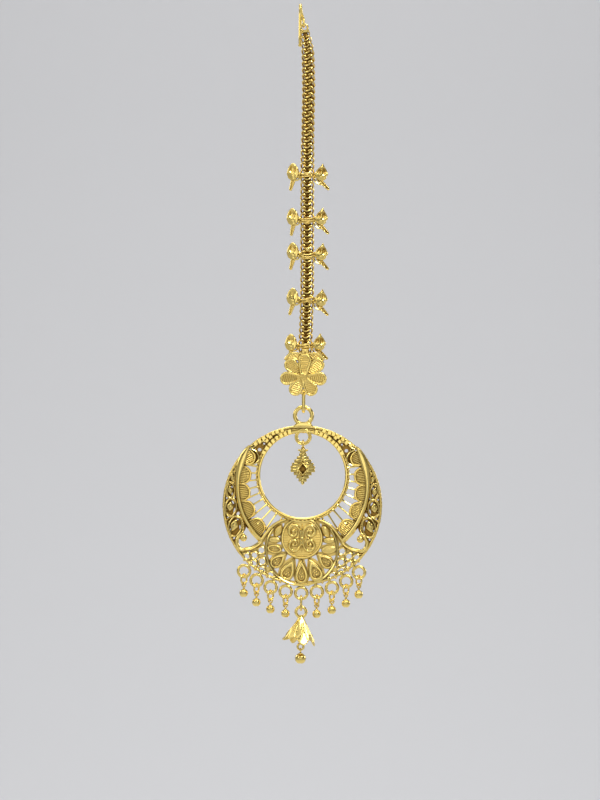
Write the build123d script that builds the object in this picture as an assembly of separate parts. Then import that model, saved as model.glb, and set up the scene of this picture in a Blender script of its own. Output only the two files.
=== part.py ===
from build123d import *
import math
import os

# Maang tikka: a forehead ornament that hangs from a hair hook.
# Millimetres. +Z up, +X to the wearer's left as seen from the front, the front faces -Y.
# The origin is the underside of the hook's bend, where the ornament bears on hair or a pin.

# ---------------------------------------------------------------- hair hook
HOOK_WIRE = 0.8
HOOK_BEND_Z = 0.4          # wire centre at the top of the bend
HOOK_FRONT_Y = -1.6        # front leg
HOOK_BACK_Y = 1.9          # free leg, at the bend
HOOK_FREE_Z = -7.4         # where the free leg starts to flare
HOOK_EYE_R = 0.9
HOOK_EYE_WIRE = 0.6
HOOK_EYE_Z = -4.0

# ---------------------------------------------------------------- chain
CHAIN_W = 3.3              # across, in X
CHAIN_T = 2.2              # thickness, in Y
CHAIN_END_X = 1.05         # the end ring's X
END_RING_R = 0.85
END_RING_WIRE = 0.5
END_RING_Z = -5.1
# route of the tube, X and Z
CHAIN_ROUTE = [
    (1.15, -5.75),
    (2.00, -10.5),
    (2.35, -20.0),
    (2.20, -38.0),
    (2.36, -56.0),
    (2.60, -71.0),
    (2.20, -87.2),
]
CHAIN_TAIL_HOLE = 1.2      # hole through the last link, for the flower's staple
CHAIN_TAIL_Z = -86.0

# ---------------------------------------------------------------- side charms
CHARM_Z = [-42.0, -53.0, -61.75, -73.25, -84.6]
CHARM_LOBE_X = 3.75        # middle of a lobe from the chain's axis
CHARM_LOBE_W = 3.1
CHARM_LOBE_H = 4.2
CHARM_PLATE = 0.5
CHARM_BAND_H = 0.8
CHARM_BAND_T = 0.3
CHARM_GAP = 0.12           # between band and chain

# ---------------------------------------------------------------- flower
FLOWER_X = 1.875
FLOWER_Z = -92.75
FLOWER_FRONT_Y = -2.1
FLOWER_BACK_Y = -1.35
PETAL_R = 1.75
# petal centres from the flower's middle, X and Z
FLOWER_PETALS = [
    (0.30, 4.45), (-3.15, 3.25), (3.55, 3.30), (-4.15, -0.10),
    (4.15, -0.10), (-1.95, -2.75), (1.95, -2.75),
]

# ---------------------------------------------------------------- pendant line
PX = 2.0                   # the pendant's own axis, X
PY = 0.35                  # the pendant's middle plane, Y
LUG_Z = -95.4
LUG_R = 1.25
LUG_WIRE = 0.6
LINK_R = 1.1               # bend radius of the link, at the wire's centre
LINK_WIRE = 0.9
LINK_TOP_Z = -96.92        # centre of the upper bend
BAIL_Z = -102.1
BAIL_R = 2.14
BAIL_WIRE = 1.04
SWING_Z = BAIL_Z + BAIL_R  # the bail's top wire, about which the pendant swings

# ---------------------------------------------------------------- crescent
CZ = -124.5                # centre of the outer circle
OUT_R = 20.0
HOLE_R = 10.6
HOLE_UP = 7.5              # the hole's centre above the outer circle's
PLATE_T = 0.6
RIM_WIRE = 0.9
ROPE_WIRE = 0.7
INNER_RING_UP = 17.1
INNER_RING_R = 1.70
INNER_RING_WIRE = 0.9
MEDAL_UP = -8.1
MEDAL_R = 5.2
FAN_UP = -11.1
FAN_R = 8.9
BAND_TOP = (13.4, 14.8)    # the polished band: rim end, middle, lower corner
BAND_MID = (16.2, 3.5)
BAND_LOW = (10.1, -8.8)
BAND_W = 0.75
LOOP_AT = 22.0             # bottom loops: distance from the outer circle's centre
LOOP_R = 1.47
LOOP_WIRE = 0.76
LOOP_STEP = 10.2           # degrees between neighbours
# ladder windows: angle from straight down about the hole's centre, outer radius
WINDOWS = [
    (29.5, 13.3), (37.8, 16.2), (46.1, 16.0), (54.4, 14.9), (62.7, 14.6),
    (71.0, 13.4), (79.3, 14.0), (87.6, 12.9), (95.9, 12.9),
]
# scallop shells along the band: across, up
SCALLOPS = [(12.9, 11.7), (14.75, 7.35), (14.85, 3.1), (13.85, -1.25), (11.3, -5.5)]
SCALLOP_R = 2.0
# domed rosettes of the outer filigree: across, up, radius
ROSETTES = [(17.9, -0.3, 1.5), (16.9, -5.1, 1.6), (17.75, 4.2, 1.2), (16.75, 8.3, 1.0)]
# round holes of the mesh: across, up
MESH_HOLES = [
    (10.1, -11.4), (11.85, -12.65), (13.85, -13.05), (9.9, -14.15),
    (12.05, -14.75), (10.0, -16.4), (7.75, -17.6),
]
# leaves beside the medallion: across, up, tilt in degrees
LEAVES = [(6.1, -6.2, 38.0), (6.9, -8.6, 5.0), (6.9, -10.8, -20.0)]
# fan petals: angle from straight down about the medallion, distance
FAN_PETALS = [(0.0, 8.8), (24.0, 8.8), (-24.0, 8.8), (47.0, 8.3), (-47.0, 8.3)]
PETAL_L = 6.2
PETAL_W = 3.2

# ---------------------------------------------------------------- drops
DROP_RING_R = 1.25
DROP_RING_WIRE = 0.5
DROP_EYE_R = 0.55
DROP_EYE_WIRE = 0.36
DROP_BALL_R = 1.08
DROP_BALL_DOWN = 5.5       # ball's centre below its loop's centre
# loop number from the left (the middle one carries the bell), ring's turn about Z
DROPS = [
    (-4, 58.0), (-3, 64.0), (-2, 60.0), (-1, 66.0),
    (1, 114.0), (2, 63.0), (3, 58.0), (4, 120.0),
]

DIAMOND_LOOP_R = 0.85
DIAMOND_LOOP_WIRE = 0.5
DIAMOND_TOP_Z = -110.9
DIAMOND_MID_Z = -115.25
DIAMOND_TIP_Z = -119.25
DIAMOND_HALF = 3.1
DIAMOND_FLAT = 0.42        # depth over width
DIAMOND_RIBS = 10
DIAMOND_CORE = 1.1

BELL_LINK_WIRE = 0.6
BELL_LINK_R = 0.8
BELL_RING_Z = -151.25
BELL_RING_R = 1.26
BELL_RING_WIRE = 0.72
BELL_TOP_Z = -152.3
BELL_MOUTH_Z = -159.0
BELL_MOUTH_R = 3.9
BELL_WALL = 0.45
BELL_PETALS = 5
BELL_EYE_Z = -160.2
BELL_EYE_R = 0.5
BELL_EYE_WIRE = 0.4
BELL_BALL_Z = -162.85
BELL_BALL_R = 1.375
BELL_BALL_EYE_R = 0.45
BELL_BALL_EYE_WIRE = 0.32
GAP = 0.06                 # between linked wires of the drops

parts = {}


# ---------------------------------------------------------------- helpers
def front(x, y, z):
    """A drawing plane facing -Y: local x is X, local y is Z, extruding goes forwards."""
    return Plane(origin=(x, y, z), x_dir=(1, 0, 0), z_dir=(0, -1, 0))


def wire_ring(x, y, z, radius, wire, turn=0.0):
    """A round ring standing upright, its plane turned about Z from the XZ plane."""
    a = math.radians(turn)
    at = Plane(
        origin=(x, y, z),
        x_dir=(math.cos(a), math.sin(a), 0),
        z_dir=(math.sin(a), -math.cos(a), 0),
    )
    return at * Torus(radius, wire / 2)


def ball(x, y, z, radius):
    return Pos(x, y, z) * Sphere(radius)


def rod(a, b, radius):
    """A straight round bar between two points."""
    a, b = Vector(*a), Vector(*b)
    d = b - a
    at = Plane(origin=a, z_dir=d)
    return at * Cylinder(radius, d.length, align=(Align.CENTER, Align.CENTER, Align.MIN))


def bar(path_points, radii, wire):
    """A round wire bent through the points."""
    path = FilletPolyline(*path_points, radius=radii)
    start = Plane(origin=path @ 0, z_dir=path % 0)
    return sweep(start * Circle(wire / 2), path=path)


def oval_link(x, y, z_top, z_low, bend, wire):
    """A link in the YZ plane: two half-round ends and two straight sides."""
    pts = [
        (x, y - bend, (z_top + z_low) / 2),
        (x, y - bend, z_top),
        (x, y + bend, z_top),
        (x, y + bend, z_low),
        (x, y - bend, z_low),
    ]
    path = Wire([
        Line(pts[0], pts[1]).edge(),
        ThreePointArc(pts[1], (x, y, z_top + bend), pts[2]).edge(),
        Line(pts[2], pts[3]).edge(),
        ThreePointArc(pts[3], (x, y, z_low - bend), pts[4]).edge(),
        Line(pts[4], pts[0]).edge(),
    ])
    start = Plane(origin=pts[0], z_dir=(0, 0, 1))
    return sweep(start * Circle(wire / 2), path=path)


def cap(across, up, radius, height, y_base=None):
    """A low dome on the pendant's front: a slice of a sphere."""
    y0 = PY - PLATE_T / 2 if y_base is None else y_base
    big = (radius * radius + height * height) / (2 * height)
    dome = Pos(PX + across, y0 + (big - height), CZ + up) * Sphere(big)
    keep = Pos(PX + across, y0 - height / 2 + 0.1, CZ + up) * Box(
        2.4 * radius, height + 0.2, 2.4 * radius
    )
    return dome & keep


def solid_of(shape):
    """The one solid of a fused shape; it stops if the pieces didn't join."""
    found = shape.solids()
    if len(found) != 1:
        print("warning: solids", len(found), [round(s.volume, 3) for s in found])
    return found[0] if len(found) == 1 else shape


def circle_through(a, b, c):
    ax, ay = a
    bx, by = b
    cx, cy = c
    d = 2 * (ax * (by - cy) + bx * (cy - ay) + cx * (ay - by))
    ux = ((ax**2 + ay**2) * (by - cy) + (bx**2 + by**2) * (cy - ay) + (cx**2 + cy**2) * (ay - by)) / d
    uy = ((ax**2 + ay**2) * (cx - bx) + (bx**2 + by**2) * (ax - cx) + (cx**2 + cy**2) * (bx - ax)) / d
    return ux, uy, math.hypot(ax - ux, ay - uy)


# ---------------------------------------------------------------- hair hook
hook = bar(
    [
        (0.72, 0, HOOK_EYE_Z + HOOK_EYE_R - 0.05),
        (0.55, 0, -2.3),
        (0.12, HOOK_FRONT_Y, -1.5),
        (0, HOOK_FRONT_Y, HOOK_BEND_Z),
        (0, HOOK_BACK_Y, HOOK_BEND_Z),
        (0, HOOK_BACK_Y + 0.2, HOOK_FREE_Z),
        (0, HOOK_BACK_Y + 1.0, HOOK_FREE_Z - 1.6),
    ],
    [0.6, 1.1, 1.15, 1.7, 2.0],
    HOOK_WIRE,
)
hook += ball(0, HOOK_BACK_Y + 1.0, HOOK_FREE_Z - 1.6, HOOK_WIRE / 2)
hook += wire_ring(CHAIN_END_X - 0.15, 0, HOOK_EYE_Z, HOOK_EYE_R, HOOK_EYE_WIRE, 90)
parts["hair_hook"] = solid_of(hook)

# ---------------------------------------------------------------- chain
route = [Vector(x, 0, z) for x, z in CHAIN_ROUTE]
radii = []
for before, corner, after in zip(route, route[1:], route[2:]):
    turn = (corner - before).get_angle(after - corner)
    shorter = min((corner - before).length, (after - corner).length)
    radii.append(0.45 * shorter / math.tan(math.radians(turn) / 2))
print("chain radii", [round(r, 1) for r in radii], "smallest in widths", round(min(radii) / CHAIN_W, 1))
chain_path = FilletPolyline(*[tuple(p) for p in route], radius=radii)
section_plane = Plane(origin=chain_path @ 0, x_dir=(0, 1, 0), z_dir=chain_path % 0)
chain = sweep(section_plane * Ellipse(CHAIN_T / 2, CHAIN_W / 2), path=chain_path)
print(
    "chain length", round(chain_path.length, 2), "volume", round(chain.volume, 2),
    "section x length", round(math.pi * CHAIN_T * CHAIN_W / 4 * chain_path.length, 2),
)
chain -= Pos(CHAIN_ROUTE[-1][0] + 0.02, 0, CHAIN_TAIL_Z) * Rot(90, 0, 0) * Cylinder(CHAIN_TAIL_HOLE / 2, 6)
chain += wire_ring(CHAIN_END_X, 0, END_RING_Z, END_RING_R, END_RING_WIRE)
parts["chain"] = solid_of(chain)


def chain_x(z):
    """The chain's middle at a height."""
    for (x0, z0), (x1, z1) in zip(CHAIN_ROUTE, CHAIN_ROUTE[1:]):
        if z1 <= z <= z0:
            return x0 + (x1 - x0) * (z - z0) / (z1 - z0)
    return CHAIN_ROUTE[-1][0]


# ---------------------------------------------------------------- side charms
# one side's lobe outline, from the lobe's middle: outwards, up
LOBE = [
    (0.0, 0.5), (0.30, 0.32), (0.47, 0.10), (0.44, -0.16), (0.50, -0.30),
    (0.28, -0.47), (0.0, -0.50), (-0.30, -0.42), (-0.48, -0.20), (-0.46, 0.08), (-0.28, 0.34),
]
# tails: side, start outwards and up, end outwards and up, width
TAILS = [(-1, (3.7, -1.0), (4.35, -4.1), 1.05), (1, (2.5, -1.15), (5.55, -3.75), 1.05)]


def side_charm(z):
    x = chain_x(z)
    body = None
    for side in (-1, 1):
        outline = [
            (side * (CHARM_LOBE_X + u * CHARM_LOBE_W), 0.75 + v * CHARM_LOBE_H) for u, v in LOBE
        ]
        lobe = extrude(front(x, 0, z) * make_face(Polyline(*outline, close=True)), CHARM_PLATE / 2, both=True)
        arm_in = CHAIN_W / 2 + CHARM_GAP + 0.1
        arm = Pos(x + side * (arm_in + 0.55), 0, z) * Box(1.3, CHARM_PLATE, CHARM_BAND_H * 1.4)
        body = lobe + arm if body is None else body + lobe + arm
    for side, (u0, v0), (u1, v1), width in TAILS:
        a, b = Vector(side * u0, v0), Vector(side * u1, v1)
        along = (b - a).normalized()
        across = Vector(-along.Y, along.X) * (width / 2)
        pts = [a + across * 0.75, a - across * 0.75, a + (b - a) * 0.45 - across, b - across * 0.45,
               b + across * 0.45, a + (b - a) * 0.45 + across]
        tail = extrude(
            front(x, 0, z) * make_face(Polyline(*[(p.X, p.Y) for p in pts], close=True)),
            CHARM_PLATE / 2 - 0.03, both=True,
        )
        body += tail
    # the strut from the right tail back to the band
    body += Pos(x + 2.35, 0, z - 1.0) * Box(1.0, CHARM_PLATE - 0.14, 1.7)
    at = Plane(origin=(x, 0, z), x_dir=(1, 0, 0), z_dir=(0, 0, 1))
    outer = extrude(
        at * Ellipse(CHAIN_W / 2 + CHARM_GAP + CHARM_BAND_T, CHAIN_T / 2 + CHARM_GAP + CHARM_BAND_T),
        CHARM_BAND_H / 2, both=True,
    )
    inner = extrude(at * Ellipse(CHAIN_W / 2 + CHARM_GAP, CHAIN_T / 2 + CHARM_GAP), 3, both=True)
    return solid_of(body + outer - inner)


for number, z in enumerate(CHARM_Z, 1):
    parts[f"side_charm_{number}"] = side_charm(z)

# ---------------------------------------------------------------- chain flower
depth = FLOWER_BACK_Y - FLOWER_FRONT_Y
flower_face = front(FLOWER_X, FLOWER_BACK_Y, FLOWER_Z)
flower = extrude(flower_face * (Circle(3.6) + Pos(0, 2.2) * Rectangle(4.4, 4.0)), depth * 0.7)
for across, up in FLOWER_PETALS:
    flower += extrude(flower_face * Pos(across, up) * Circle(PETAL_R), depth)
    flower -= extrude(front(FLOWER_X + across, FLOWER_FRONT_Y + 0.22, FLOWER_Z + up) * Circle(PETAL_R - 0.45), 1)
# two flat leaves above the top petals
for side in (-1, 1):
    leaf = [(0, 5.6), (side * 2.3, 6.35), (side * 3.6, 6.0), (side * 4.75, 4.9), (side * 3.0, 4.6), (0, 4.2)]
    flower += extrude(front(FLOWER_X + 0.2, FLOWER_BACK_Y, FLOWER_Z) * make_face(Polyline(*leaf, close=True)), depth * 0.5)
# staple through the chain's last link
staple_x = CHAIN_ROUTE[-1][0] + 0.02
flower += bar(
    [
        (staple_x, FLOWER_BACK_Y - 0.25, CHAIN_TAIL_Z - 0.2),
        (staple_x, 1.62, CHAIN_TAIL_Z - 0.2),
        (staple_x, 1.62, -88.15),
        (staple_x, FLOWER_BACK_Y - 0.25, -88.15),
    ],
    [0.5, 0.5],
    0.5,
)
# a plain back plate carries the staple's upper foot
flower += Pos(staple_x, FLOWER_BACK_Y - 0.2, -87.0) * Box(1.6, 0.4, 3.0)
# lug ring behind the flower, on a short post
flower += wire_ring(PX, PY, LUG_Z, LUG_R, LUG_WIRE)
flower += rod((PX, FLOWER_BACK_Y - 0.2, LUG_Z + LUG_R), (PX, PY, LUG_Z + LUG_R), 0.36)
parts["chain_flower"] = solid_of(flower)

# ---------------------------------------------------------------- pendant link
parts["pendant_link"] = solid_of(oval_link(PX, PY, LINK_TOP_Z, SWING_Z, LINK_R, LINK_WIRE))


# ---------------------------------------------------------------- crescent
def at_polar(across, up, degrees_from_down, distance):
    a = math.radians(degrees_from_down)
    return across + distance * math.sin(a), up - distance * math.cos(a)


plate_sketch = Circle(OUT_R - 0.4) - Pos(0, HOLE_UP) * Circle(HOLE_R + 0.3)
window_in = HOLE_R + ROPE_WIRE + 0.05
for angle, reach in WINDOWS:
    for side in (-1, 1):
        corners = [
            at_polar(0, HOLE_UP, side * (angle + d), r)
            for d, r in ((-2.9, window_in), (2.9, window_in), (2.9, reach), (-2.9, reach))
        ]
        plate_sketch -= make_face(Polyline(*corners, close=True))
for across, up in MESH_HOLES:
    for side in (-1, 1):
        plate_sketch -= Pos(side * across, up) * Circle(0.72)
GAP_SHAPE = [(14.1, -5.9), (11.0, -9.1), (12.3, -11.0), (13.5, -10.6), (13.6, -8.6)]
for side in (-1, 1):
    plate_sketch -= make_face(Polyline(*[(side * a, b) for a, b in GAP_SHAPE], close=True))
crescent = extrude(front(PX, PY, CZ) * plate_sketch, PLATE_T / 2, both=True)

crescent += wire_ring(PX, PY, CZ, OUT_R - RIM_WIRE / 2, RIM_WIRE)
crescent += wire_ring(PX, PY, CZ + HOLE_UP, HOLE_R + ROPE_WIRE / 2, ROPE_WIRE)

# polished bands: from the rim down to a corner, then in to the rope rim
bx, by, br = circle_through(BAND_TOP, BAND_MID, BAND_LOW)
print("band circle", round(bx, 2), round(by, 2), round(br, 2))
for side in (-1, 1):
    band = Pos(side * bx, by) * (Circle(br + BAND_W / 2) - Circle(br - BAND_W / 2))
    clip = [(side * BAND_LOW[0], BAND_LOW[1]), (side * 40, -8.9), (side * 40, 15.4), (side * 10, 15.4), (side * 8, 4)]
    band = band & make_face(Polyline(*clip, close=True))
    crescent += extrude(front(PX, PY, CZ) * band, PLATE_T / 2 + 0.45)
    arch = [BAND_LOW, (8.3, -5.0), (6.2, -3.85), (4.2, -3.55)]
    for (a0, b0), (a1, b1) in zip(arch, arch[1:]):
        crescent += rod(
            (PX + side * a0, PY - 0.35, CZ + b0), (PX + side * a1, PY - 0.35, CZ + b1), 0.3
        )
        crescent += ball(PX + side * a1, PY - 0.35, CZ + b1, 0.3)

# fan boundary, medallion, fan petals, leaves
fan_ring = Pos(0, FAN_UP) * (Circle(FAN_R + 0.25) - Circle(FAN_R - 0.25))
fan_ring = fan_ring - Pos(0, HOLE_UP) * Circle(HOLE_R + 0.35)
fan_ring = fan_ring & Circle(OUT_R - 0.3)
crescent += extrude(front(PX, PY, CZ) * fan_ring, PLATE_T / 2 + 0.3)
medal = Pos(0, MEDAL_UP) * Circle(MEDAL_R) - Pos(0, HOLE_UP) * Circle(HOLE_R + 0.2)
crescent += extrude(front(PX, PY, CZ) * medal, PLATE_T / 2 + 0.5)
for angle, distance in FAN_PETALS:
    a, b = at_polar(0, MEDAL_UP, angle, distance)
    at = front(PX, PY, CZ) * Pos(a, b) * Rot(0, 0, angle)
    tear = make_hull((Pos(0, -PETAL_L / 2 + PETAL_W / 2) * Circle(PETAL_W / 2)).edges() + (Pos(0, PETAL_L / 2) * Circle(0.12)).edges())
    petal = extrude(at * tear, PLATE_T / 2 + 0.42)
    well = extrude(
        front(PX, PY - PLATE_T / 2 - 0.12, CZ) * Pos(a, b) * Rot(0, 0, angle) * Pos(0, -PETAL_L / 2 + PETAL_W / 2) * Circle(PETAL_W / 2 - 0.6),
        2,
    )
    crescent += petal
    crescent -= well
for across, up, tilt in LEAVES:
    for side in (-1, 1):
        at = front(PX, PY, CZ) * Pos(side * across, up) * Rot(0, 0, side * tilt)
        crescent += extrude(at * SlotOverall(2.9, 1.5), PLATE_T / 2 + 0.36)

# scallop shells, rosettes and curls
for side in (-1, 1):
    for across, up in SCALLOPS:
        crescent += cap(side * across, up, SCALLOP_R, 0.5)
    for across, up, radius in ROSETTES:
        crescent += cap(side * across, up, radius, 0.55)
    crescent += wire_ring(PX + side * 14.9, PY - 0.1, CZ - 9.0, 1.15, 0.6)
    crescent += ball(PX + side * 14.5, PY - 0.25, CZ - 8.0, 0.62)

# bail ring, its collar and the inner ring
crescent += wire_ring(PX, PY, BAIL_Z, BAIL_R, BAIL_WIRE)
collar = make_face(Polyline((-2.6, 19.35), (2.6, 19.35), (2.15, 20.75), (-2.15, 20.75), close=True))
collar -= Pos(0, BAIL_Z - CZ) * Circle(BAIL_R)
crescent += extrude(front(PX, PY, CZ) * collar, 0.6, both=True)
crescent += wire_ring(PX, PY, CZ + INNER_RING_UP, INNER_RING_R, INNER_RING_WIRE)

# block ornament either side of the bail, between the two rims
for side in (-1, 1):
    for k in range(7):
        angle = 180 - side * (19.0 + 4.6 * k)
        a, b = at_polar(0, 0, angle, 18.85 - 0.02 * k * k)
        block = Pos(PX + a, PY, CZ + b) * Rot(0, 180 - angle, 0) * Box(1.15, 1.15, 1.5)
        crescent += block

# nine bottom loops with a small foot each
loops = {}
for k in range(-4, 5):
    a, b = at_polar(0, 0, k * LOOP_STEP, LOOP_AT)
    loops[k] = (PX + a, CZ + b)
    crescent += wire_ring(PX + a, PY, CZ + b, LOOP_R, LOOP_WIRE)
    fa, fb = at_polar(0, 0, k * LOOP_STEP, OUT_R - 0.7)
    ta, tb = at_polar(0, 0, k * LOOP_STEP, LOOP_AT - LOOP_R + 0.05)
    crescent += rod((PX + fa, PY, CZ + fb), (PX + ta, PY, CZ + tb), 0.42)
parts["crescent"] = solid_of(crescent)

# ---------------------------------------------------------------- diamond drop
inner_low = CZ + INNER_RING_UP - INNER_RING_R
loop_z = inner_low + INNER_RING_WIRE / 2 + GAP + DIAMOND_LOOP_WIRE / 2 - DIAMOND_LOOP_R
diamond = wire_ring(PX, PY, loop_z, DIAMOND_LOOP_R, DIAMOND_LOOP_WIRE, 90)
loop_foot = loop_z - DIAMOND_LOOP_R
diamond += Pos(PX, PY, (loop_foot + DIAMOND_TOP_Z) / 2 - 0.1) * Cylinder(0.36, loop_foot - DIAMOND_TOP_Z + 0.5)
for dz, radius in ((0.30, 1.12), (-0.22, 0.85)):
    diamond += Pos(PX, PY, DIAMOND_TOP_Z + dz) * Cylinder(radius, 0.3)


def lozenge_half(z):
    """Half the drop's width at a height."""
    if z > DIAMOND_MID_Z:
        return 0.62 + (DIAMOND_HALF - 0.62) * (DIAMOND_TOP_Z - z) / (DIAMOND_TOP_Z - DIAMOND_MID_Z)
    return 0.3 + (DIAMOND_HALF - 0.3) * (z - DIAMOND_TIP_Z) / (DIAMOND_MID_Z - DIAMOND_TIP_Z)


core = make_face(Polyline(
    (-0.45, DIAMOND_TOP_Z), (0.45, DIAMOND_TOP_Z), (DIAMOND_HALF - 0.25, DIAMOND_MID_Z),
    (0.2, DIAMOND_TIP_Z), (-0.2, DIAMOND_TIP_Z), (-DIAMOND_HALF + 0.25, DIAMOND_MID_Z), close=True,
))
diamond += extrude(front(PX, PY, 0) * core, DIAMOND_CORE / 2, both=True)
pitch = (DIAMOND_TOP_Z - DIAMOND_TIP_Z) / DIAMOND_RIBS
for k in range(DIAMOND_RIBS):
    z = DIAMOND_TOP_Z - (k + 0.5) * pitch
    half = lozenge_half(z)
    at = Plane(origin=(PX, PY, z), x_dir=(1, 0, 0), z_dir=(0, 0, 1))
    diamond += extrude(at * SlotOverall(2 * half, 2 * half * DIAMOND_FLAT), pitch * 0.28, both=True)
diamond += ball(PX, PY, DIAMOND_TIP_Z + 0.1, 0.38)
diamond -= Pos(PX, PY - 1.75, DIAMOND_MID_Z + 0.05) * Rot(0, 45, 0) * Box(1.25, 1.4, 1.25)
parts["diamond_drop"] = solid_of(diamond)

# ---------------------------------------------------------------- ball drops
for number, (k, turn) in enumerate(DROPS, 1):
    lx, lz = loops[k]
    ring_z = lz - LOOP_R + LOOP_WIRE / 2 + GAP + DROP_RING_WIRE / 2 - DROP_RING_R
    parts[f"drop_ring_{number}"] = wire_ring(lx, PY, ring_z, DROP_RING_R, DROP_RING_WIRE, turn).solid()
    eye_z = ring_z - DROP_RING_R + DROP_RING_WIRE / 2 + GAP * 0.8 + DROP_EYE_WIRE / 2 - DROP_EYE_R
    ball_z = lz - DROP_BALL_DOWN
    drop = ball(lx, PY, ball_z, DROP_BALL_R)
    drop += Pos(lx, PY, (eye_z - DROP_EYE_R + ball_z) / 2) * Cylinder(0.24, eye_z - DROP_EYE_R - ball_z)
    drop += wire_ring(lx, PY, eye_z, DROP_EYE_R, DROP_EYE_WIRE, turn + 90)
    parts[f"drop_ball_{number}"] = solid_of(drop)

# ---------------------------------------------------------------- bell
lx, lz = loops[0]
link_top = lz - LOOP_R + LOOP_WIRE / 2 + GAP + BELL_LINK_WIRE / 2 - BELL_LINK_R
link_low = BELL_RING_Z + BELL_RING_R - BELL_RING_WIRE / 2 - GAP - BELL_LINK_WIRE / 2 + BELL_LINK_R
parts["bell_link"] = solid_of(oval_link(PX, PY, link_top, link_low, BELL_LINK_R, BELL_LINK_WIRE))

bell = wire_ring(PX, PY, BELL_RING_Z, BELL_RING_R, BELL_RING_WIRE)
# outside and inside of the flared wall: radius, height
outside = [(0.0, BELL_TOP_Z + 0.25), (0.75, BELL_TOP_Z), (1.25, -153.6), (2.15, -155.6), (3.1, -157.4), (BELL_MOUTH_R, BELL_MOUTH_Z)]
inside = [(r - BELL_WALL if r > BELL_WALL else 0.0, z - 0.25) for r, z in outside[1:-1]]
inside = [(0.0, -153.6)] + inside[1:] + [(BELL_MOUTH_R - BELL_WALL, BELL_MOUTH_Z)]
profile = Polyline(*outside, *reversed(inside), close=True)
shell = revolve(
    Plane(origin=(PX, PY, 0), x_dir=(1, 0, 0), z_dir=(0, -1, 0)) * make_face(profile),
    axis=Axis((PX, PY, 0), (0, 0, 1)),
)
for k in range(BELL_PETALS):
    # notches between the petals
    angle = math.radians(360 / BELL_PETALS * k + 54)
    out = Vector(math.cos(angle), math.sin(angle), 0)
    at = Plane(origin=(PX, PY, BELL_MOUTH_Z - 0.1), x_dir=(-out.Y, out.X, 0), z_dir=out)
    shell -= extrude(at * make_face(Polyline((-1.0, -0.5), (1.0, -0.5), (0, 2.7), close=True)), 6)
bell += shell
bell += Pos(PX, PY, (BELL_TOP_Z - 0.8 + BELL_EYE_Z + BELL_EYE_R) / 2) * Cylinder(0.26, BELL_TOP_Z - 0.8 - BELL_EYE_Z - BELL_EYE_R)
bell += wire_ring(PX, PY, BELL_EYE_Z, BELL_EYE_R, BELL_EYE_WIRE)
parts["bell_drop"] = solid_of(bell)

tip_eye = BELL_EYE_Z - BELL_EYE_R + BELL_EYE_WIRE / 2 + GAP * 0.8 + BELL_BALL_EYE_WIRE / 2 - BELL_BALL_EYE_R
tip = ball(PX, PY, BELL_BALL_Z, BELL_BALL_R)
tip += Pos(PX, PY, (tip_eye - BELL_BALL_EYE_R + BELL_BALL_Z) / 2) * Cylinder(0.22, tip_eye - BELL_BALL_EYE_R - BELL_BALL_Z)
tip += wire_ring(PX, PY, tip_eye, BELL_BALL_EYE_R, BELL_BALL_EYE_WIRE, 90)
parts["bell_ball"] = solid_of(tip)

# ---------------------------------------------------------------- output
os.makedirs("parts", exist_ok=True)
total = 0.0
for name, shape in parts.items():
    export_step(shape, f"parts/{name}.step")
    total += shape.volume
print(len(parts), "nodes, volume", round(total, 1), "mm3")
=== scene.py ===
import math
import random

import bmesh
import bpy
import numpy as np
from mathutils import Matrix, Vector
from mathutils.geometry import delaunay_2d_cdt


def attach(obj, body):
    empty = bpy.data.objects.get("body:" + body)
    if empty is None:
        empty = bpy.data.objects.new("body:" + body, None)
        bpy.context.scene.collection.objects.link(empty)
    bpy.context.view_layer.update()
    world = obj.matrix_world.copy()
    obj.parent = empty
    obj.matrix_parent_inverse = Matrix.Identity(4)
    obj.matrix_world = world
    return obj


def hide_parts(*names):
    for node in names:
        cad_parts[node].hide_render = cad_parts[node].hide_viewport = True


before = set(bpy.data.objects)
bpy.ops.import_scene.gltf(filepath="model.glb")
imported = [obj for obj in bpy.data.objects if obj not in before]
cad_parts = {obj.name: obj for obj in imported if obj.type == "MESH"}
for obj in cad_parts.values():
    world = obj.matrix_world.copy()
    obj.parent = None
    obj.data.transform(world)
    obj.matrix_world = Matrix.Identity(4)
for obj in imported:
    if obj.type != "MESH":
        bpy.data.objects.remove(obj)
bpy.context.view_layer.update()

random.seed(7)
rng = np.random.default_rng(7)
MM = 0.001
TAU = 2 * math.pi

# Every length below is in millimetres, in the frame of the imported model:
# +Z up, the front faces -Y, the origin is the underside of the hook's bend.


# ================================================================ materials
def link(nt, a, b):
    nt.links.new(a, b)


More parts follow.
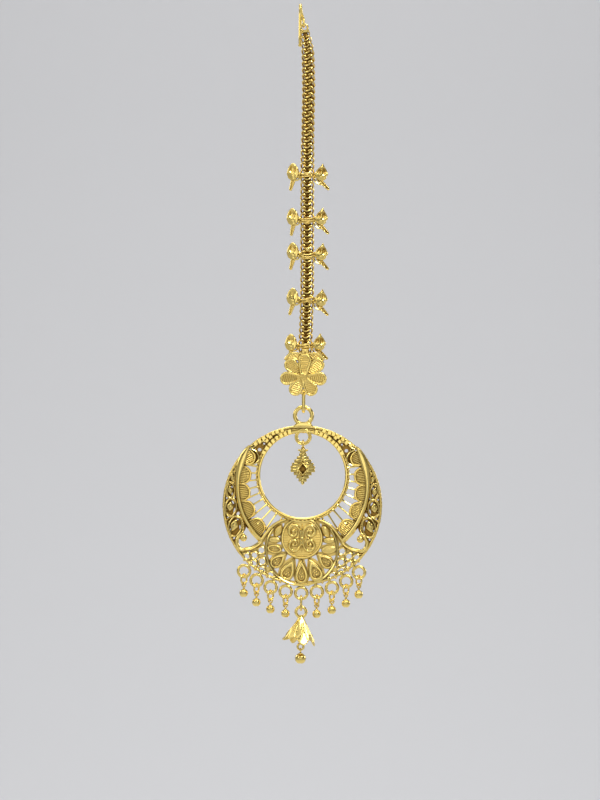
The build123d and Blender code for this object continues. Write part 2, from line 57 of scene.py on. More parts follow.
def gold(name, light, dark, rough, rough_low, bump, scale, tint=0.5):
    """Gold plate: pale on raised metal, with painted shade where it is recessed (darker, browner colour by ambient
    occlusion), fine wear and a faint cast grain.
    """
    m = bpy.data.materials.new(name)
    m.use_nodes = True
    nt = m.node_tree
    nt.nodes.clear()
    out = nt.nodes.new("ShaderNodeOutputMaterial")
    p = nt.nodes.new("ShaderNodeBsdfPrincipled")
    p.inputs["Metallic"].default_value = 1.0
    link(nt, p.outputs["BSDF"], out.inputs["Surface"])
    at = nt.nodes.new("ShaderNodeTexCoord")

    # broad patches of warmer and paler plate
    patch = nt.nodes.new("ShaderNodeTexNoise")
    patch.inputs["Scale"].default_value = 240.0
    patch.inputs["Detail"].default_value = 3.0
    link(nt, at.outputs["Object"], patch.inputs["Vector"])
    warm = nt.nodes.new("ShaderNodeMix")
    warm.data_type = "RGBA"
    warm.inputs["A"].default_value = (*light, 1)
    warm.inputs["B"].default_value = (light[0] * 0.97, light[1] * 0.92, light[2] * 0.74, 1)
    spread = nt.nodes.new("ShaderNodeMapRange")
    spread.inputs["From Min"].default_value = 0.35
    spread.inputs["From Max"].default_value = 0.7
    spread.inputs["To Max"].default_value = tint
    link(nt, patch.outputs["Fac"], spread.inputs["Value"])
    link(nt, spread.outputs["Result"], warm.inputs["Factor"])

    # painted shade: recesses are darkened and browned by ambient occlusion, standing in for the shade that falls there
    ao = nt.nodes.new("ShaderNodeAmbientOcclusion")
    ao.samples = 8
    ao.only_local = True
    ao.inputs["Distance"].default_value = 0.0012
    deep = nt.nodes.new("ShaderNodeMapRange")
    deep.inputs["From Min"].default_value = 0.33
    deep.inputs["From Max"].default_value = 0.83
    link(nt, ao.outputs["AO"], deep.inputs["Value"])
    colour = nt.nodes.new("ShaderNodeMix")
    colour.data_type = "RGBA"
    colour.inputs["A"].default_value = (*dark, 1)
    link(nt, warm.outputs["Result"], colour.inputs["B"])
    link(nt, deep.outputs["Result"], colour.inputs["Factor"])
    link(nt, colour.outputs["Result"], p.inputs["Base Color"])

    # handling wear: roughness drifts, and recesses stay satin
    wear = nt.nodes.new("ShaderNodeTexNoise")
    wear.inputs["Scale"].default_value = scale
    wear.inputs["Detail"].default_value = 5.0
    link(nt, at.outputs["Object"], wear.inputs["Vector"])
    rmap = nt.nodes.new("ShaderNodeMapRange")
    rmap.inputs["From Min"].default_value = 0.3
    rmap.inputs["From Max"].default_value = 0.7
    rmap.inputs["To Min"].default_value = rough_low
    rmap.inputs["To Max"].default_value = rough
    link(nt, wear.outputs["Fac"], rmap.inputs["Value"])
    satin = nt.nodes.new("ShaderNodeMix")
    satin.data_type = "FLOAT"
    satin.inputs["A"].default_value = 0.5
    link(nt, rmap.outputs["Result"], satin.inputs["B"])
    link(nt, deep.outputs["Result"], satin.inputs["Factor"])
    link(nt, satin.outputs["Result"], p.inputs["Roughness"])

    # cast grain and hair scratches
    grain = nt.nodes.new("ShaderNodeTexNoise")
    grain.inputs["Scale"].default_value = scale * 2.2
    grain.inputs["Detail"].default_value = 4.0
    link(nt, at.outputs["Object"], grain.inputs["Vector"])
    b = nt.nodes.new("ShaderNodeBump")
    b.inputs["Strength"].default_value = bump
    b.inputs["Distance"].default_value = 0.00004
    link(nt, grain.outputs["Fac"], b.inputs["Height"])
    link(nt, b.outputs["Normal"], p.inputs["Normal"])
    return m


# the second colour of each finish is painted shade, mixed in wherever ambient occlusion finds a recess
PALE = (0.95, 0.735, 0.235)
SHADE_BROWN = (0.17, 0.078, 0.008)
polished = gold("gold_polished", PALE, SHADE_BROWN, 0.22, 0.10, 0.25, 900.0)
satin = gold("gold_satin", (0.94, 0.71, 0.225), (0.20, 0.095, 0.010), 0.40, 0.26, 0.6, 2600.0, 0.7)
wire_gold = gold("gold_wire", (0.95, 0.71, 0.22), (0.14, 0.062, 0.006), 0.30, 0.17, 0.4, 1700.0, 0.6)
# a dark brown gold laid as painted shade on sunk floors, wells, the chain's core and the sheets behind piercings
hollow_shade_gold = gold("gold_painted_shade", (0.42, 0.245, 0.05), (0.10, 0.045, 0.004), 0.50, 0.34, 0.6, 2600.0, 0.6)
chain_gold = gold("gold_chain", (0.95, 0.71, 0.22), (0.36, 0.19, 0.028), 0.30, 0.17, 0.4, 1700.0, 0.6)
MATERIALS = [polished, satin, wire_gold, hollow_shade_gold, chain_gold]
POLISHED, SATIN, WIRE, PAINTED_SHADE, CHAIN = 0, 1, 2, 3, 4


# ================================================================ mesh bag
class Bag:
    """Vertices and faces of one piece, in millimetres, gathered before its mesh is made."""

    def __init__(self):
        self.verts, self.faces, self.kinds, self.count = [], [], [], 0

    def add(self, verts, faces, kind):
        verts = np.asarray(verts, float).reshape(-1, 3)
        base = self.count
        self.verts.append(verts)
        self.faces.extend([tuple(base + i for i in f) for f in faces])
        self.kinds.extend([kind] * len(faces) if np.isscalar(kind) else list(kind))
        self.count += len(verts)

    def make(self, name, body, *nodes, sharp=38.0):
        mesh = bpy.data.meshes.new(name)
        co = np.vstack(self.verts) * MM
        mesh.from_pydata(co.tolist(), [], self.faces)
        mesh.polygons.foreach_set("material_index", self.kinds)
        for m in MATERIALS:
            mesh.materials.append(m)
        bm = bmesh.new()
        bm.from_mesh(mesh)
        bmesh.ops.recalc_face_normals(bm, faces=bm.faces)
        bm.to_mesh(mesh)
        bm.free()
        mesh.shade_smooth()
        mesh.set_sharp_from_angle(angle=math.radians(sharp))
        mesh.validate()
        obj = bpy.data.objects.new(name, mesh)
        bpy.context.scene.collection.objects.link(obj)
        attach(obj, body)
        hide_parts(*nodes)
        tri = sum(len(p.vertices) - 2 for p in mesh.polygons)
        print("piece", name, "triangles", tri)
        return obj


def grid_faces(n, m, wrap_n=False, wrap_m=False):
    """Quads over an n by m lattice of vertices."""
    i = np.arange(n if wrap_n else n - 1)
    j = np.arange(m if wrap_m else m - 1)
    i, j = np.meshgrid(i, j, indexing="ij")
    i, j = i.ravel(), j.ravel()
    i2, j2 = (i + 1) % n, (j + 1) % m
    return np.stack([i * m + j, i2 * m + j, i2 * m + j2, i * m + j2], 1).tolist()


# ================================================================ wires
def unit(v):
    return v / np.maximum(np.linalg.norm(v, axis=-1, keepdims=True), 1e-12)


def frames(path, closed, hint):
    """Tangent and two cross directions along a path."""
    if closed:
        t = unit(np.roll(path, -1, 0) - np.roll(path, 1, 0))
    else:
        t = unit(np.gradient(path, axis=0))
    if hint is not None:
        b = unit(np.cross(t, np.asarray(hint, float)))
        return t, b, np.cross(b, t)
    start = np.array([0.0, -1.0, 0.0])
    if abs(t[0] @ start) > 0.9:
        start = np.array([1.0, 0.0, 0.0])
    n = unit(start - (start @ t[0]) * t[0])
    ns = [n]
    for k in range(1, len(path)):
        n = ns[-1] - (ns[-1] @ t[k]) * t[k]
        ns.append(unit(n))
    ns = np.array(ns)
    return t, np.cross(t, ns), ns


def sweep(bag, path, r, sides=10, closed=False, hint=None, wide=1.0, tall=1.0, rope=0.0, pitch=1.0,
          kind=POLISHED, phase=0.0):
    """A wire along a path. wide and tall squash its section; rope and pitch twist two strands into it."""
    path = np.asarray(path, float)
    n = len(path)
    r = np.broadcast_to(np.asarray(r, float), (n,))
    t, b, nn = frames(path, closed, hint)
    th = np.arange(sides) / sides * TAU + phase
    rad = np.broadcast_to(r[:, None], (n, sides)).copy()
    if rope:
        seg = np.linalg.norm(np.diff(path, axis=0), axis=1)
        s = np.concatenate([[0], np.cumsum(seg)])
        if closed:
            total = s[-1] + np.linalg.norm(path[0] - path[-1])
            turns = max(1, round(total / pitch))
            phi = s / total * turns * math.pi
        else:
            phi = s / pitch * math.pi
        rad *= 1 - rope + rope * np.cos(2 * (th[None, :] - phi[:, None]))
    p = path[:, None, :] + rad[:, :, None] * (
        wide * np.cos(th)[None, :, None] * b[:, None, :] + tall * np.sin(th)[None, :, None] * nn[:, None, :]
    )
    if closed:
        bag.add(p, grid_faces(n, sides, True, True), kind)
        return
    rows = [p]
    # rounded ends
    for at, sign in ((0, -1), (n - 1, 1)):
        for shrink, out in ((0.78, 0.5), (0.42, 0.8)):
            q = path[at] + (p[at] - path[at]) * shrink + sign * t[at] * r[at] * out * min(wide, tall)
            rows = [q[None]] + rows if sign < 0 else rows + [q[None]]
    # the start's rows were stacked inner first, so put them in order
    allp = np.concatenate(rows, 0)
    m = len(allp)
    tips = np.array([
        path[0] - t[0] * r[0] * 0.9 * min(wide, tall), path[-1] + t[-1] * r[-1] * 0.9 * min(wide, tall)
    ])
    faces = grid_faces(m, sides, False, True)
    k = m * sides
    for j in range(sides):
        faces.append([k, j, (j + 1) % sides])
        faces.append([k + 1, (m - 1) * sides + (j + 1) % sides, (m - 1) * sides + j])
    bag.add(np.vstack([allp.reshape(-1, 3), tips]), faces, kind)


def circle_path(centre, ax, ay, ru, rv, n):
    a = np.arange(n) / n * TAU
    return np.asarray(centre, float) + ru * np.cos(a)[:, None] * np.asarray(ax, float) + rv * np.sin(a)[:, None] * np.asarray(ay, float)


def ring(bag, centre, radius, wire, turn=0.0, n=44, sides=12, kind=POLISHED, stretch=1.0, rope=0.0, pitch=1.0, flat=1.0):
    """A round ring standing upright, its plane turned about Z from the XZ plane."""
    a = math.radians(turn)
    ax = (math.cos(a), math.sin(a), 0.0)
    normal = (math.sin(a), -math.cos(a), 0.0)
    sweep(bag, circle_path(centre, ax, (0, 0, 1), radius, radius * stretch, n), wire / 2, sides, True,
          hint=normal, kind=kind, rope=rope, pitch=pitch, wide=flat)


def smooth(points, n, closed=False):
    """A Catmull-Rom curve through the points."""
    p = np.asarray(points, float)
    m = len(p)
    if closed:
        idx = np.arange(n) / n * m
    else:
        idx = np.linspace(0, m - 1, n)
    i = np.minimum(np.floor(idx).astype(int), (m - 1) if closed else (m - 2))
    f = (idx - i)[:, None]
    if closed:
        a, b, c, d = p[(i - 1) % m], p[i % m], p[(i + 1) % m], p[(i + 2) % m]
    else:
        first, last = 2 * p[0] - p[1], 2 * p[-1] - p[-2]
        q = np.vstack([first, p, last])
        a, b, c, d = q[i], q[i + 1], q[i + 2], q[i + 3]
    return 0.5 * (2 * b + (c - a) * f + (2 * a - 5 * b + 4 * c - d) * f**2 + (3 * b - a - 3 * c + d) * f**3)


def fillet(points, radii, step):
    """Straight runs joined by tangent arcs, sampled about every step."""
    p = [np.asarray(q, float) for q in points]
    out = [p[0]]
    for k in range(1, len(p) - 1):
        d0, d1 = unit(p[k] - p[k - 1]), unit(p[k + 1] - p[k])
        turn = math.acos(max(-1, min(1, float(d0 @ d1))))
        cut = radii[k - 1] * math.tan(turn / 2)
        a, b = p[k] - d0 * cut, p[k] + d1 * cut
        inward = unit(d1 - d0)
        centre = p[k] + inward * radii[k - 1] / math.cos(turn / 2)
        va, vb = a - centre, b - centre
        m = max(2, int(radii[k - 1] * turn / step))
        out.append(a)
        for q in range(1, m):
            f = q / m
            w = (math.sin((1 - f) * turn) * va + math.sin(f * turn) * vb) / math.sin(turn)
            out.append(centre + w)
        out.append(b)
    out.append(p[-1])
    out = np.array(out)
    keep = [0] + [i for i in range(1, len(out)) if np.linalg.norm(out[i] - out[i - 1]) > 1e-6]
    return resample(out[keep], step)


def resample(path, step):
    seg = np.linalg.norm(np.diff(path, axis=0), axis=1)
    s = np.concatenate([[0], np.cumsum(seg)])
    n = max(2, int(round(s[-1] / step)) + 1)
    at = np.linspace(0, s[-1], n)
    return np.stack([np.interp(at, s, path[:, k]) for k in range(3)], 1)


def ball(bag, centre, r, seg=14, rows=8, kind=POLISHED, squash=(1, 1, 1), seam=0.0, facet=0.0):
    """A bead. seam sinks an upright line front and back; facet flattens its sides a little."""
    th = np.arange(seg) / seg * TAU
    la = np.linspace(-math.pi / 2, math.pi / 2, rows + 1)[1:-1]
    rad = np.ones((len(la), seg))
    if seam:
        away = np.abs(np.abs((th + math.pi / 2 + math.pi) % TAU - math.pi))
        away = np.minimum(away, math.pi - away)
        # it opens into a shallow triangle low down
        low = np.clip((0.15 - la) / 1.1, 0, 1)[:, None]
        rad -= seam * (0.65 + 0.35 * low) * np.exp(-((away[None, :] * np.cos(la)[:, None] / (0.15 + 0.24 * low)) ** 2))
        rad -= seam * 0.25 * np.exp(-((la / 0.11) ** 2))[:, None]
    if facet:
        rad *= 1 - facet * (0.5 + 0.5 * np.cos(4 * th + math.pi)[None, :]) * np.abs(np.sin(2 * la))[:, None] ** 0.5
    x = rad * np.cos(la)[:, None] * np.cos(th)[None]
    y = rad * np.cos(la)[:, None] * np.sin(th)[None]
    z = rad * np.sin(la)[:, None] * np.ones(seg)[None]
    v = np.stack([x, y, z], -1).reshape(-1, 3)
    v = np.vstack([v, [[0, 0, -rad[0].mean()], [0, 0, rad[-1].mean()]]]) * r * np.asarray(squash) + np.asarray(centre, float)
    m = len(la)
    faces = grid_faces(m, seg, False, True)
    k = m * seg
    for j in range(seg):
        faces.append([k, (j + 1) % seg, j])
        faces.append([k + 1, (m - 1) * seg + j, (m - 1) * seg + (j + 1) % seg])
    bag.add(v, faces, kind)


# ================================================================ relief on an upright plane
class Front:
    """A drawing plane facing -Y. u is across, v is up, d is how far it stands towards the viewer."""

    def __init__(self, x, y, z, mirror=1, turn=0.0, lean=0.0):
        self.o, self.mirror = (x, y, z), mirror
        self.c, self.s = math.cos(math.radians(turn)), math.sin(math.radians(turn))
        self.lean = math.radians(lean)

    def at(self, u, v, d):
        u, v, d = np.broadcast_arrays(np.asarray(u, float), np.asarray(v, float), np.asarray(d, float))
        a, b = u * self.c - v * self.s, u * self.s + v * self.c
        # lean turns the plane about the upright through its origin
        cl, sl = math.cos(self.lean), math.sin(self.lean)
        a, d = a * cl - d * sl, a * sl + d * cl
        return np.stack([self.o[0] + self.mirror * a, self.o[1] - d, self.o[2] + b], -1)


def area(loop):
    x, y = loop[:, 0], loop[:, 1]
    return 0.5 * float(np.sum(x * np.roll(y, -1) - y * np.roll(x, -1)))


def offset(loop, by):
    """Moves a loop to its left by a distance."""
    e0 = unit(loop - np.roll(loop, 1, 0))
    e1 = unit(np.roll(loop, -1, 0) - loop)
    n0 = np.stack([-e0[:, 1], e0[:, 0]], 1)
    n1 = np.stack([-e1[:, 1], e1[:, 0]], 1)
    n = unit(n0 + n1)
    k = 1 / np.maximum(0.55, (n * n0).sum(1))
    return loop + n * (by * k)[:, None]


def plate(bag, pl, outer, holes, back, front_d, bevel=0.08, kind=SATIN):
    """A pierced sheet with softened edges."""
    loops = []
    outer = np.asarray(outer, float)
    loops.append(outer if area(outer) > 0 else outer[::-1])
    for h in holes:
        h = np.asarray(h, float)
        loops.append(h if area(h) < 0 else h[::-1])
    inset = [offset(lp, bevel) for lp in loops]
    flat = np.vstack(inset)
    sets, k = [], 0
    for lp in inset:
        sets.append(list(range(k, k + len(lp))))
        k += len(lp)
    got = delaunay_2d_cdt([Vector((float(a), float(b))) for a, b in flat], [], sets, 2, 1e-5)
    if len(got[0]) != len(flat):
        print("plate: loops cross", len(flat), len(got[0]))
    top = np.array([[p.x, p.y] for p in got[0]])
    # the triangulation may renumber, so match its points to ours
    number = {}
    for i, originals in enumerate(got[3]):
        for o in originals:
            number[o] = i
    base = np.vstack(loops)
    n = len(top)
    v = np.vstack([
        pl.at(top[:, 0], top[:, 1], front_d),
        pl.at(base[:, 0], base[:, 1], front_d - bevel),
        pl.at(base[:, 0], base[:, 1], back + bevel),
        pl.at(top[:, 0], top[:, 1], back),
    ])
    m = len(base)
    faces = [list(f) for f in got[2]] + [[3 * 0 + n + 2 * m + i for i in reversed(f)] for f in got[2]]
    k = 0
    for lp in loops:
        for i in range(len(lp)):
            a, b = k + i, k + (i + 1) % len(lp)
            ta, tb = number.get(a), number.get(b)
            if ta is None or tb is None:
                continue
            faces.append([ta, tb, n + b, n + a])
            faces.append([n + a, n + b, n + m + b, n + m + a])
            faces.append([n + m + a, n + m + b, n + 2 * m + tb, n + 2 * m + ta])
        k += len(lp)
    fine = len(got[2])
    bag.add(v, faces, [kind] * fine + [SATIN] * fine + [kind] * (len(faces) - 2 * fine))


def moulded(bag, pl, loop, centre, profile, back, kind=SATIN, kinds=None):
    """A relief over a star-shaped outline. profile rows are (distance in from the edge, depth)."""
    loop = np.asarray(loop, float)
    c = np.asarray(centre, float)
    away = loop - c
    dist = np.linalg.norm(away, axis=1)
    n = len(loop)
    rows = [pl.at(loop[:, 0], loop[:, 1], back)]
    for inset, d in profile:
        f = np.clip(1 - inset / dist, 0.02, 1)
        q = c + away * f[:, None]
        rows.append(pl.at(q[:, 0], q[:, 1], d))
    v = np.vstack([np.vstack(rows), pl.at(c[0], c[1], profile[-1][1])[None], pl.at(c[0], c[1], back)[None]])
    m = len(rows)
    faces = grid_faces(m, n, False, True)
    k = m * n
    fan_front = [[k, (m - 1) * n + i, (m - 1) * n + (i + 1) % n] for i in range(n)]
    fan_back = [[k + 1, (i + 1) % n, i] for i in range(n)]
    bag.add(v, faces + fan_front + fan_back, kind)
    if kinds is not None:
        # rows of faces may take another finish
        start = len(bag.kinds) - len(faces) - 2 * n
        for row in range(m - 1):
            for i in range(n):
                bag.kinds[start + row * n + i] = kinds[min(row, len(kinds) - 1)]
        for i in range(n):
            bag.kinds[start + len(faces) + i] = kinds[-1]


def tear(length, width, n=40, full=1.0):
    """A drop pointing up (v), middle at the origin."""
    t = np.arange(n) / n * TAU
    shape = np.sin(t) * np.sin(t / 2) ** full
    x = shape / shape.max() * width / 2
    return np.stack([x, np.cos(t) * length / 2], 1)


def vesica(length, width, n=32, point=1.35):
    """A leaf pointed at both ends along v."""
    t = np.arange(n) / n * TAU
    return np.stack([np.sign(np.sin(t)) * np.abs(np.sin(t)) ** point * width / 2, np.cos(t) * length / 2], 1)


def oval(ru, rv, n=32):
    t = np.arange(n) / n * TAU
    return np.stack([np.cos(t) * ru, np.sin(t) * rv], 1)


def turned(loop, degrees, u=0.0, v=0.0):
    a = math.radians(degrees)
    loop = np.asarray(loop, float)
    return np.stack([
        loop[:, 0] * math.cos(a) - loop[:, 1] * math.sin(a) + u,
        loop[:, 0] * math.sin(a) + loop[:, 1] * math.cos(a) + v,
    ], 1)


def rounded(corners, r, n=4):
    """A polygon with rounded corners."""
    p = np.asarray(corners, float)
    out = []
    for k in range(len(p)):
        a, b, c = p[k - 1], p[k], p[(k + 1) % len(p)]
        d0, d1 = unit(a - b), unit(c - b)
        cut = min(r, 0.45 * np.linalg.norm(a - b), 0.45 * np.linalg.norm(c - b))
        s, e = b + d0 * cut, b + d1 * cut
        for q in range(n + 1):
            f = q / n
            out.append((1 - f) ** 2 * s + 2 * f * (1 - f) * b + f * f * e)
    return np.array(out)


def border(bag, pl, loop, r, d, kind=POLISHED, closed=True, wide=1.0, tall=1.0, sides=8, rope=0.0, pitch=1.0):
    """A wire laid along an outline on a plane."""
    loop = np.asarray(loop, float)
    path = pl.at(loop[:, 0], loop[:, 1], d)
    sweep(bag, path, r, sides, closed, hint=(0, -1, 0), wide=wide, tall=tall, kind=kind, rope=rope, pitch=pitch)


def hatch(bag, pl, loop, angle, pitch, r, d, margin=0.1, kind=SATIN, tall=0.7, first=0.5):
    """Low ribs across an outline, side by side."""
    flat = turned(loop, -angle)
    low, high = flat[:, 1].min(), flat[:, 1].max()
    y = low + pitch * first
    while y < high:
        a, b = flat, np.roll(flat, -1, 0)
        hit = (a[:, 1] - y) * (b[:, 1] - y) < 0
        xs = a[hit, 0] + (y - a[hit, 1]) / (b[hit, 1] - a[hit, 1]) * (b[hit, 0] - a[hit, 0])
        xs = np.sort(xs)
        for x0, x1 in zip(xs[0::2], xs[1::2]):
            if x1 - x0 > 2 * margin + 2 * r:
                line = turned([(x0 + margin, y), ((x0 + x1) / 2, y), (x1 - margin, y)], angle)
                sweep(bag, pl.at(line[:, 0], line[:, 1], d), r, 6, hint=(0, -1, 0), tall=tall, kind=kind)
        y += pitch


def inside_distance(p, loop):
    """How far points lie inside an outline; negative outside it."""
    a, b = loop, np.roll(loop, -1, 0)
    e = b - a
    rel = p[:, None, :] - a[None]
    t = np.clip((rel * e[None]).sum(-1) / np.maximum((e * e).sum(1), 1e-12), 0, 1)
    dist = np.sqrt(((rel - t[..., None] * e[None]) ** 2).sum(-1)).min(1)
    y = p[:, 1:2]
    over = (a[None, :, 1] > y) != (b[None, :, 1] > y)
    rise = np.where(np.abs(e[:, 1]) < 1e-12, 1e-12, e[:, 1])
    x = a[None, :, 0] + (y - a[None, :, 1]) * (e[:, 0] / rise)[None]
    inside = ((p[:, :1] < x) & over).sum(1) % 2 == 1
    return np.where(inside, dist, -dist)


def closed_resample(loop, step):
    loop = np.asarray(loop, float)
    path = np.vstack([loop, loop[:1]])
    s = np.concatenate([[0], np.cumsum(np.linalg.norm(np.diff(path, axis=0), axis=1))])
    n = max(8, int(round(s[-1] / step)))
    at = np.arange(n) / n * s[-1]
    return np.stack([np.interp(at, s, path[:, 0]), np.interp(at, s, path[:, 1])], 1)


def relief(bag, pl, loop, height, back, step=0.12, rows=(0.04, 0.10, 0.18, 0.28), kind=POLISHED, finish=None, lines=None, extra=None):
    """A solid whose face is moulded by height(points, distance in from the edge), with a flat back."""
    loop = closed_resample(loop, step)
    if area(loop) < 0:
        loop = loop[::-1]
    sets = [loop]
    for r in rows:
        q = offset(loop, r)
        sets.append(q[inside_distance(q, loop) > r * 0.85])
    lo, hi = loop.min(0), loop.max(0)
    rise, first = lines or (step, lo[1])
    gx, gy = np.meshgrid(np.arange(lo[0], hi[0], step), first + np.arange(math.floor((lo[1] - first) / rise), (hi[1] - first) / rise) * rise)
    g = np.stack([gx.ravel(), gy.ravel()], 1)
    g = g[inside_distance(g, loop) > rows[-1] + step * 0.45]
    if extra is not None:
        # keep the even grid clear of the points that follow raised lines
        near = np.array([np.hypot(*(extra - q).T).min() for q in g])
        g = g[near > step * 0.55]
        sets.append(extra[inside_distance(extra, loop) > rows[-1] + step * 0.45])
    sets.append(g)
    pts = np.vstack(sets)
    n = len(loop)
    got = delaunay_2d_cdt([Vector((float(a), float(b))) for a, b in pts], [], [list(range(n))], 2, 1e-5)
    top = np.array([[q.x, q.y] for q in got[0]])
    number = {}
    for i, originals in enumerate(got[3]):
        for o in originals:
            number[o] = i
    dist = np.maximum(0, inside_distance(top, loop))
    dist[[number[i] for i in range(n)]] = 0.0
    high = height(top, dist)
    low = delaunay_2d_cdt([Vector((float(a), float(b))) for a, b in loop], [], [list(range(n))], 2, 1e-5)
    m = len(top)
    v = np.vstack([pl.at(top[:, 0], top[:, 1], high), pl.at(loop[:, 0], loop[:, 1], back)])
    flat = {}
    for i, originals in enumerate(low[3]):
        for o in originals:
            flat.setdefault(i, o)
    faces = [list(f) for f in got[2]]
    kinds = [kind] * len(faces)
    if finish is not None:
        mid = np.array([top[list(f)].mean(0) for f in faces])
        kinds = [int(k) for k in finish(mid, inside_distance(mid, loop))]
    for i in range(n):
        j = (i + 1) % n
        faces.append([number[i], number[j], m + j, m + i])
    faces += [[m + flat[i] for i in reversed(f)] for f in low[2] if all(i in flat for i in f)]
    kinds += [kind] * (len(faces) - len(kinds))
    start = len(bag.kinds)
    bag.add(v, faces, kind)
    bag.kinds[start:] = kinds


def step01(x, a, b):
    """0 below a, 1 above b, smooth between."""
    t = np.clip((x - a) / (b - a), 0, 1)
    return t * t * (3 - 2 * t)


def hump(p, u, v, ru, rv, turn=0.0):
    """A soft round hump, 1 at its middle."""
    c, s = math.cos(math.radians(turn)), math.sin(math.radians(turn))
    a = (p[:, 0] - u) * c + (p[:, 1] - v) * s
    b = -(p[:, 0] - u) * s + (p[:, 1] - v) * c
    return np.exp(-((a / ru) ** 2) - (b / rv) ** 2)


def welled(bag, pl, outer, inner, back, edge, crown, rim, floor, kind=POLISHED, floor_kind=SATIN):
    """A broad smooth border that rolls from an outer outline to an inner one, round a sunk floor."""
    outer, inner = np.asarray(outer, float), np.asarray(inner, float)
    n = len(outer)
    rows = [pl.at(outer[:, 0], outer[:, 1], back)]
    for f, d in ((0.0, edge), (0.04, edge + (crown - edge) * 0.45), (0.16, edge + (crown - edge) * 0.8),
                 (0.36, edge + (crown - edge) * 0.97), (0.6, crown), (0.82, crown * 0.98 + rim * 0.02), (0.95, rim + (crown - rim) * 0.5), (1.0, rim)):
        q = outer + (inner - outer) * f
        rows.append(pl.at(q[:, 0], q[:, 1], d))
    c = inner.mean(0)
    for f, d in ((0.94, (rim + floor) / 2), (0.86, floor)):
        q = c + (inner - c) * f
        rows.append(pl.at(q[:, 0], q[:, 1], d))
    v = np.vstack([np.vstack(rows), pl.at(c[0], c[1], floor)[None], pl.at(c[0], c[1], back)[None]])
    m = len(rows)
    start = len(bag.kinds)
    k = m * n
    faces = grid_faces(m, n, False, True)
    body = len(faces)
    faces += [[k, (m - 1) * n + i, (m - 1) * n + (i + 1) % n] for i in range(n)]
    faces += [[k + 1, (i + 1) % n, i] for i in range(n)]
    bag.add(v, faces, kind)
    for i in range((m - 3) * n, body + n):
        bag.kinds[start + i] = floor_kind


def block(bag, pl, u, v, wide, high, back, front_d, turn=0.0, chamfer=0.1, kind=POLISHED):
    """A small chamfered bar."""
    a, b = wide / 2, high / 2
    outer = rounded([(-a, -b), (a, -b), (a, b), (-a, b)], chamfer, 2)
    top = outer * [(a - chamfer) / a, (b - chamfer) / b]
    o, t = turned(outer, turn, u, v), turned(top, turn, u, v)
    n = len(o)
    verts = np.vstack([
        pl.at(o[:, 0], o[:, 1], back), pl.at(o[:, 0], o[:, 1], front_d - chamfer), pl.at(t[:, 0], t[:, 1], front_d),
    ])
    faces = grid_faces(3, n, False, True) + [list(range(2 * n, 3 * n)), list(range(n - 1, -1, -1))]
    bag.add(verts, faces, kind)


def arc(cu, cv, r, a0, a1, n):
    """Points on a circle; angles in degrees from straight down, towards +u."""
    a = np.radians(np.linspace(a0, a1, n))
    return np.stack([cu + r * np.sin(a), cv - r * np.cos(a)], 1)


def spiral(cu, cv, r0, r1, start, turns, n, sense=1):
    a = math.radians(start) + sense * np.linspace(0, turns * TAU, n)
    r = np.linspace(r0, r1, n)
    return np.stack([cu + r * np.cos(a), cv + r * np.sin(a)], 1)


def circle_through(a, b, c):
    (ax, ay), (bx, by), (cx, cy) = a, b, c
    d = 2 * (ax * (by - cy) + bx * (cy - ay) + cx * (ay - by))
    ux = ((ax**2 + ay**2) * (by - cy) + (bx**2 + by**2) * (cy - ay) + (cx**2 + cy**2) * (ay - by)) / d
    uy = ((ax**2 + ay**2) * (cx - bx) + (bx**2 + by**2) * (ax - cx) + (cx**2 + cy**2) * (bx - ax)) / d
    return ux, uy, math.hypot(ax - ux, ay - uy)


# ================================================================ camera, lights, stage
def area_light(name, at, aim, size, watts, colour=(1, 1, 1), size_y=None):
    data = bpy.data.lights.new(name, "AREA")
    data.shape = "RECTANGLE"
    data.size, data.size_y = size, size_y or size
    data.energy = watts
    data.color = colour
    o = bpy.data.objects.new(name, data)
    o.location = at
    o.rotation_euler = (Vector(aim) - Vector(at)).to_track_quat("-Z", "Y").to_euler()
    o.visible_camera = False
    bpy.context.scene.collection.objects.link(o)
    return o


MID = (0.002, 0.0, -0.085)
area_light("key", (0.34, -0.55, 0.50), MID, 0.24, 2.6, (1.0, 0.985, 0.95))
area_light("front", (0.05, -1.35, 0.05), MID, 0.70, 1.25)
area_light("fill", (-0.60, -0.45, 0.22), MID, 0.36, 0.9, (0.97, 0.985, 1.0))
area_light("top", (0.0, 0.05, 0.75), MID, 0.45, 1.5)
area_light("rim_left", (-0.55, 0.35, 0.15), MID, 0.25, 0.5)
area_light("rim_right", (0.60, 0.30, 0.05), MID, 0.25, 0.7)
area_light("backdrop", (0.0, 0.45, 0.85), (0.0, 1.45, 0.0), 0.9, 9.0)

world = bpy.data.worlds.new("studio")
bpy.context.scene.world = world
world.use_nodes = True
wn = world.node_tree
wn.nodes.clear()
w_out = wn.nodes.new("ShaderNodeOutputWorld")
w_bg = wn.nodes.new("ShaderNodeBackground")
w_bg.inputs["Strength"].default_value = 1.0
w_at = wn.nodes.new("ShaderNodeTexCoord")
w_sep = wn.nodes.new("ShaderNodeSeparateXYZ")
w_ramp = wn.nodes.new("ShaderNodeValToRGB")
w_map = wn.nodes.new("ShaderNodeMapRange")
w_map.inputs["From Min"].default_value = -1.0
wn.links.new(w_at.outputs["Generated"], w_sep.inputs["Vector"])
wn.links.new(w_sep.outputs["Z"], w_map.inputs["Value"])
wn.links.new(w_map.outputs["Result"], w_ramp.inputs["Fac"])
w_ramp.color_ramp.elements[0].position = 0.40
w_ramp.color_ramp.elements[0].color = (0.30, 0.30, 0.31, 1)
w_ramp.color_ramp.elements[1].position = 0.90
w_ramp.color_ramp.elements[1].color = (0.92, 0.93, 0.95, 1)
for place, level in ((0.49, 0.38), (0.53, 0.40), (0.60, 0.18), (0.76, 0.11)):
    stop = w_ramp.color_ramp.elements.new(place)
    stop.color = (level, level, level * 1.02, 1)
wn.links.new(w_ramp.outputs["Color"], w_bg.inputs["Color"])
wn.links.new(w_bg.outputs["Background"], w_out.inputs["Surface"])


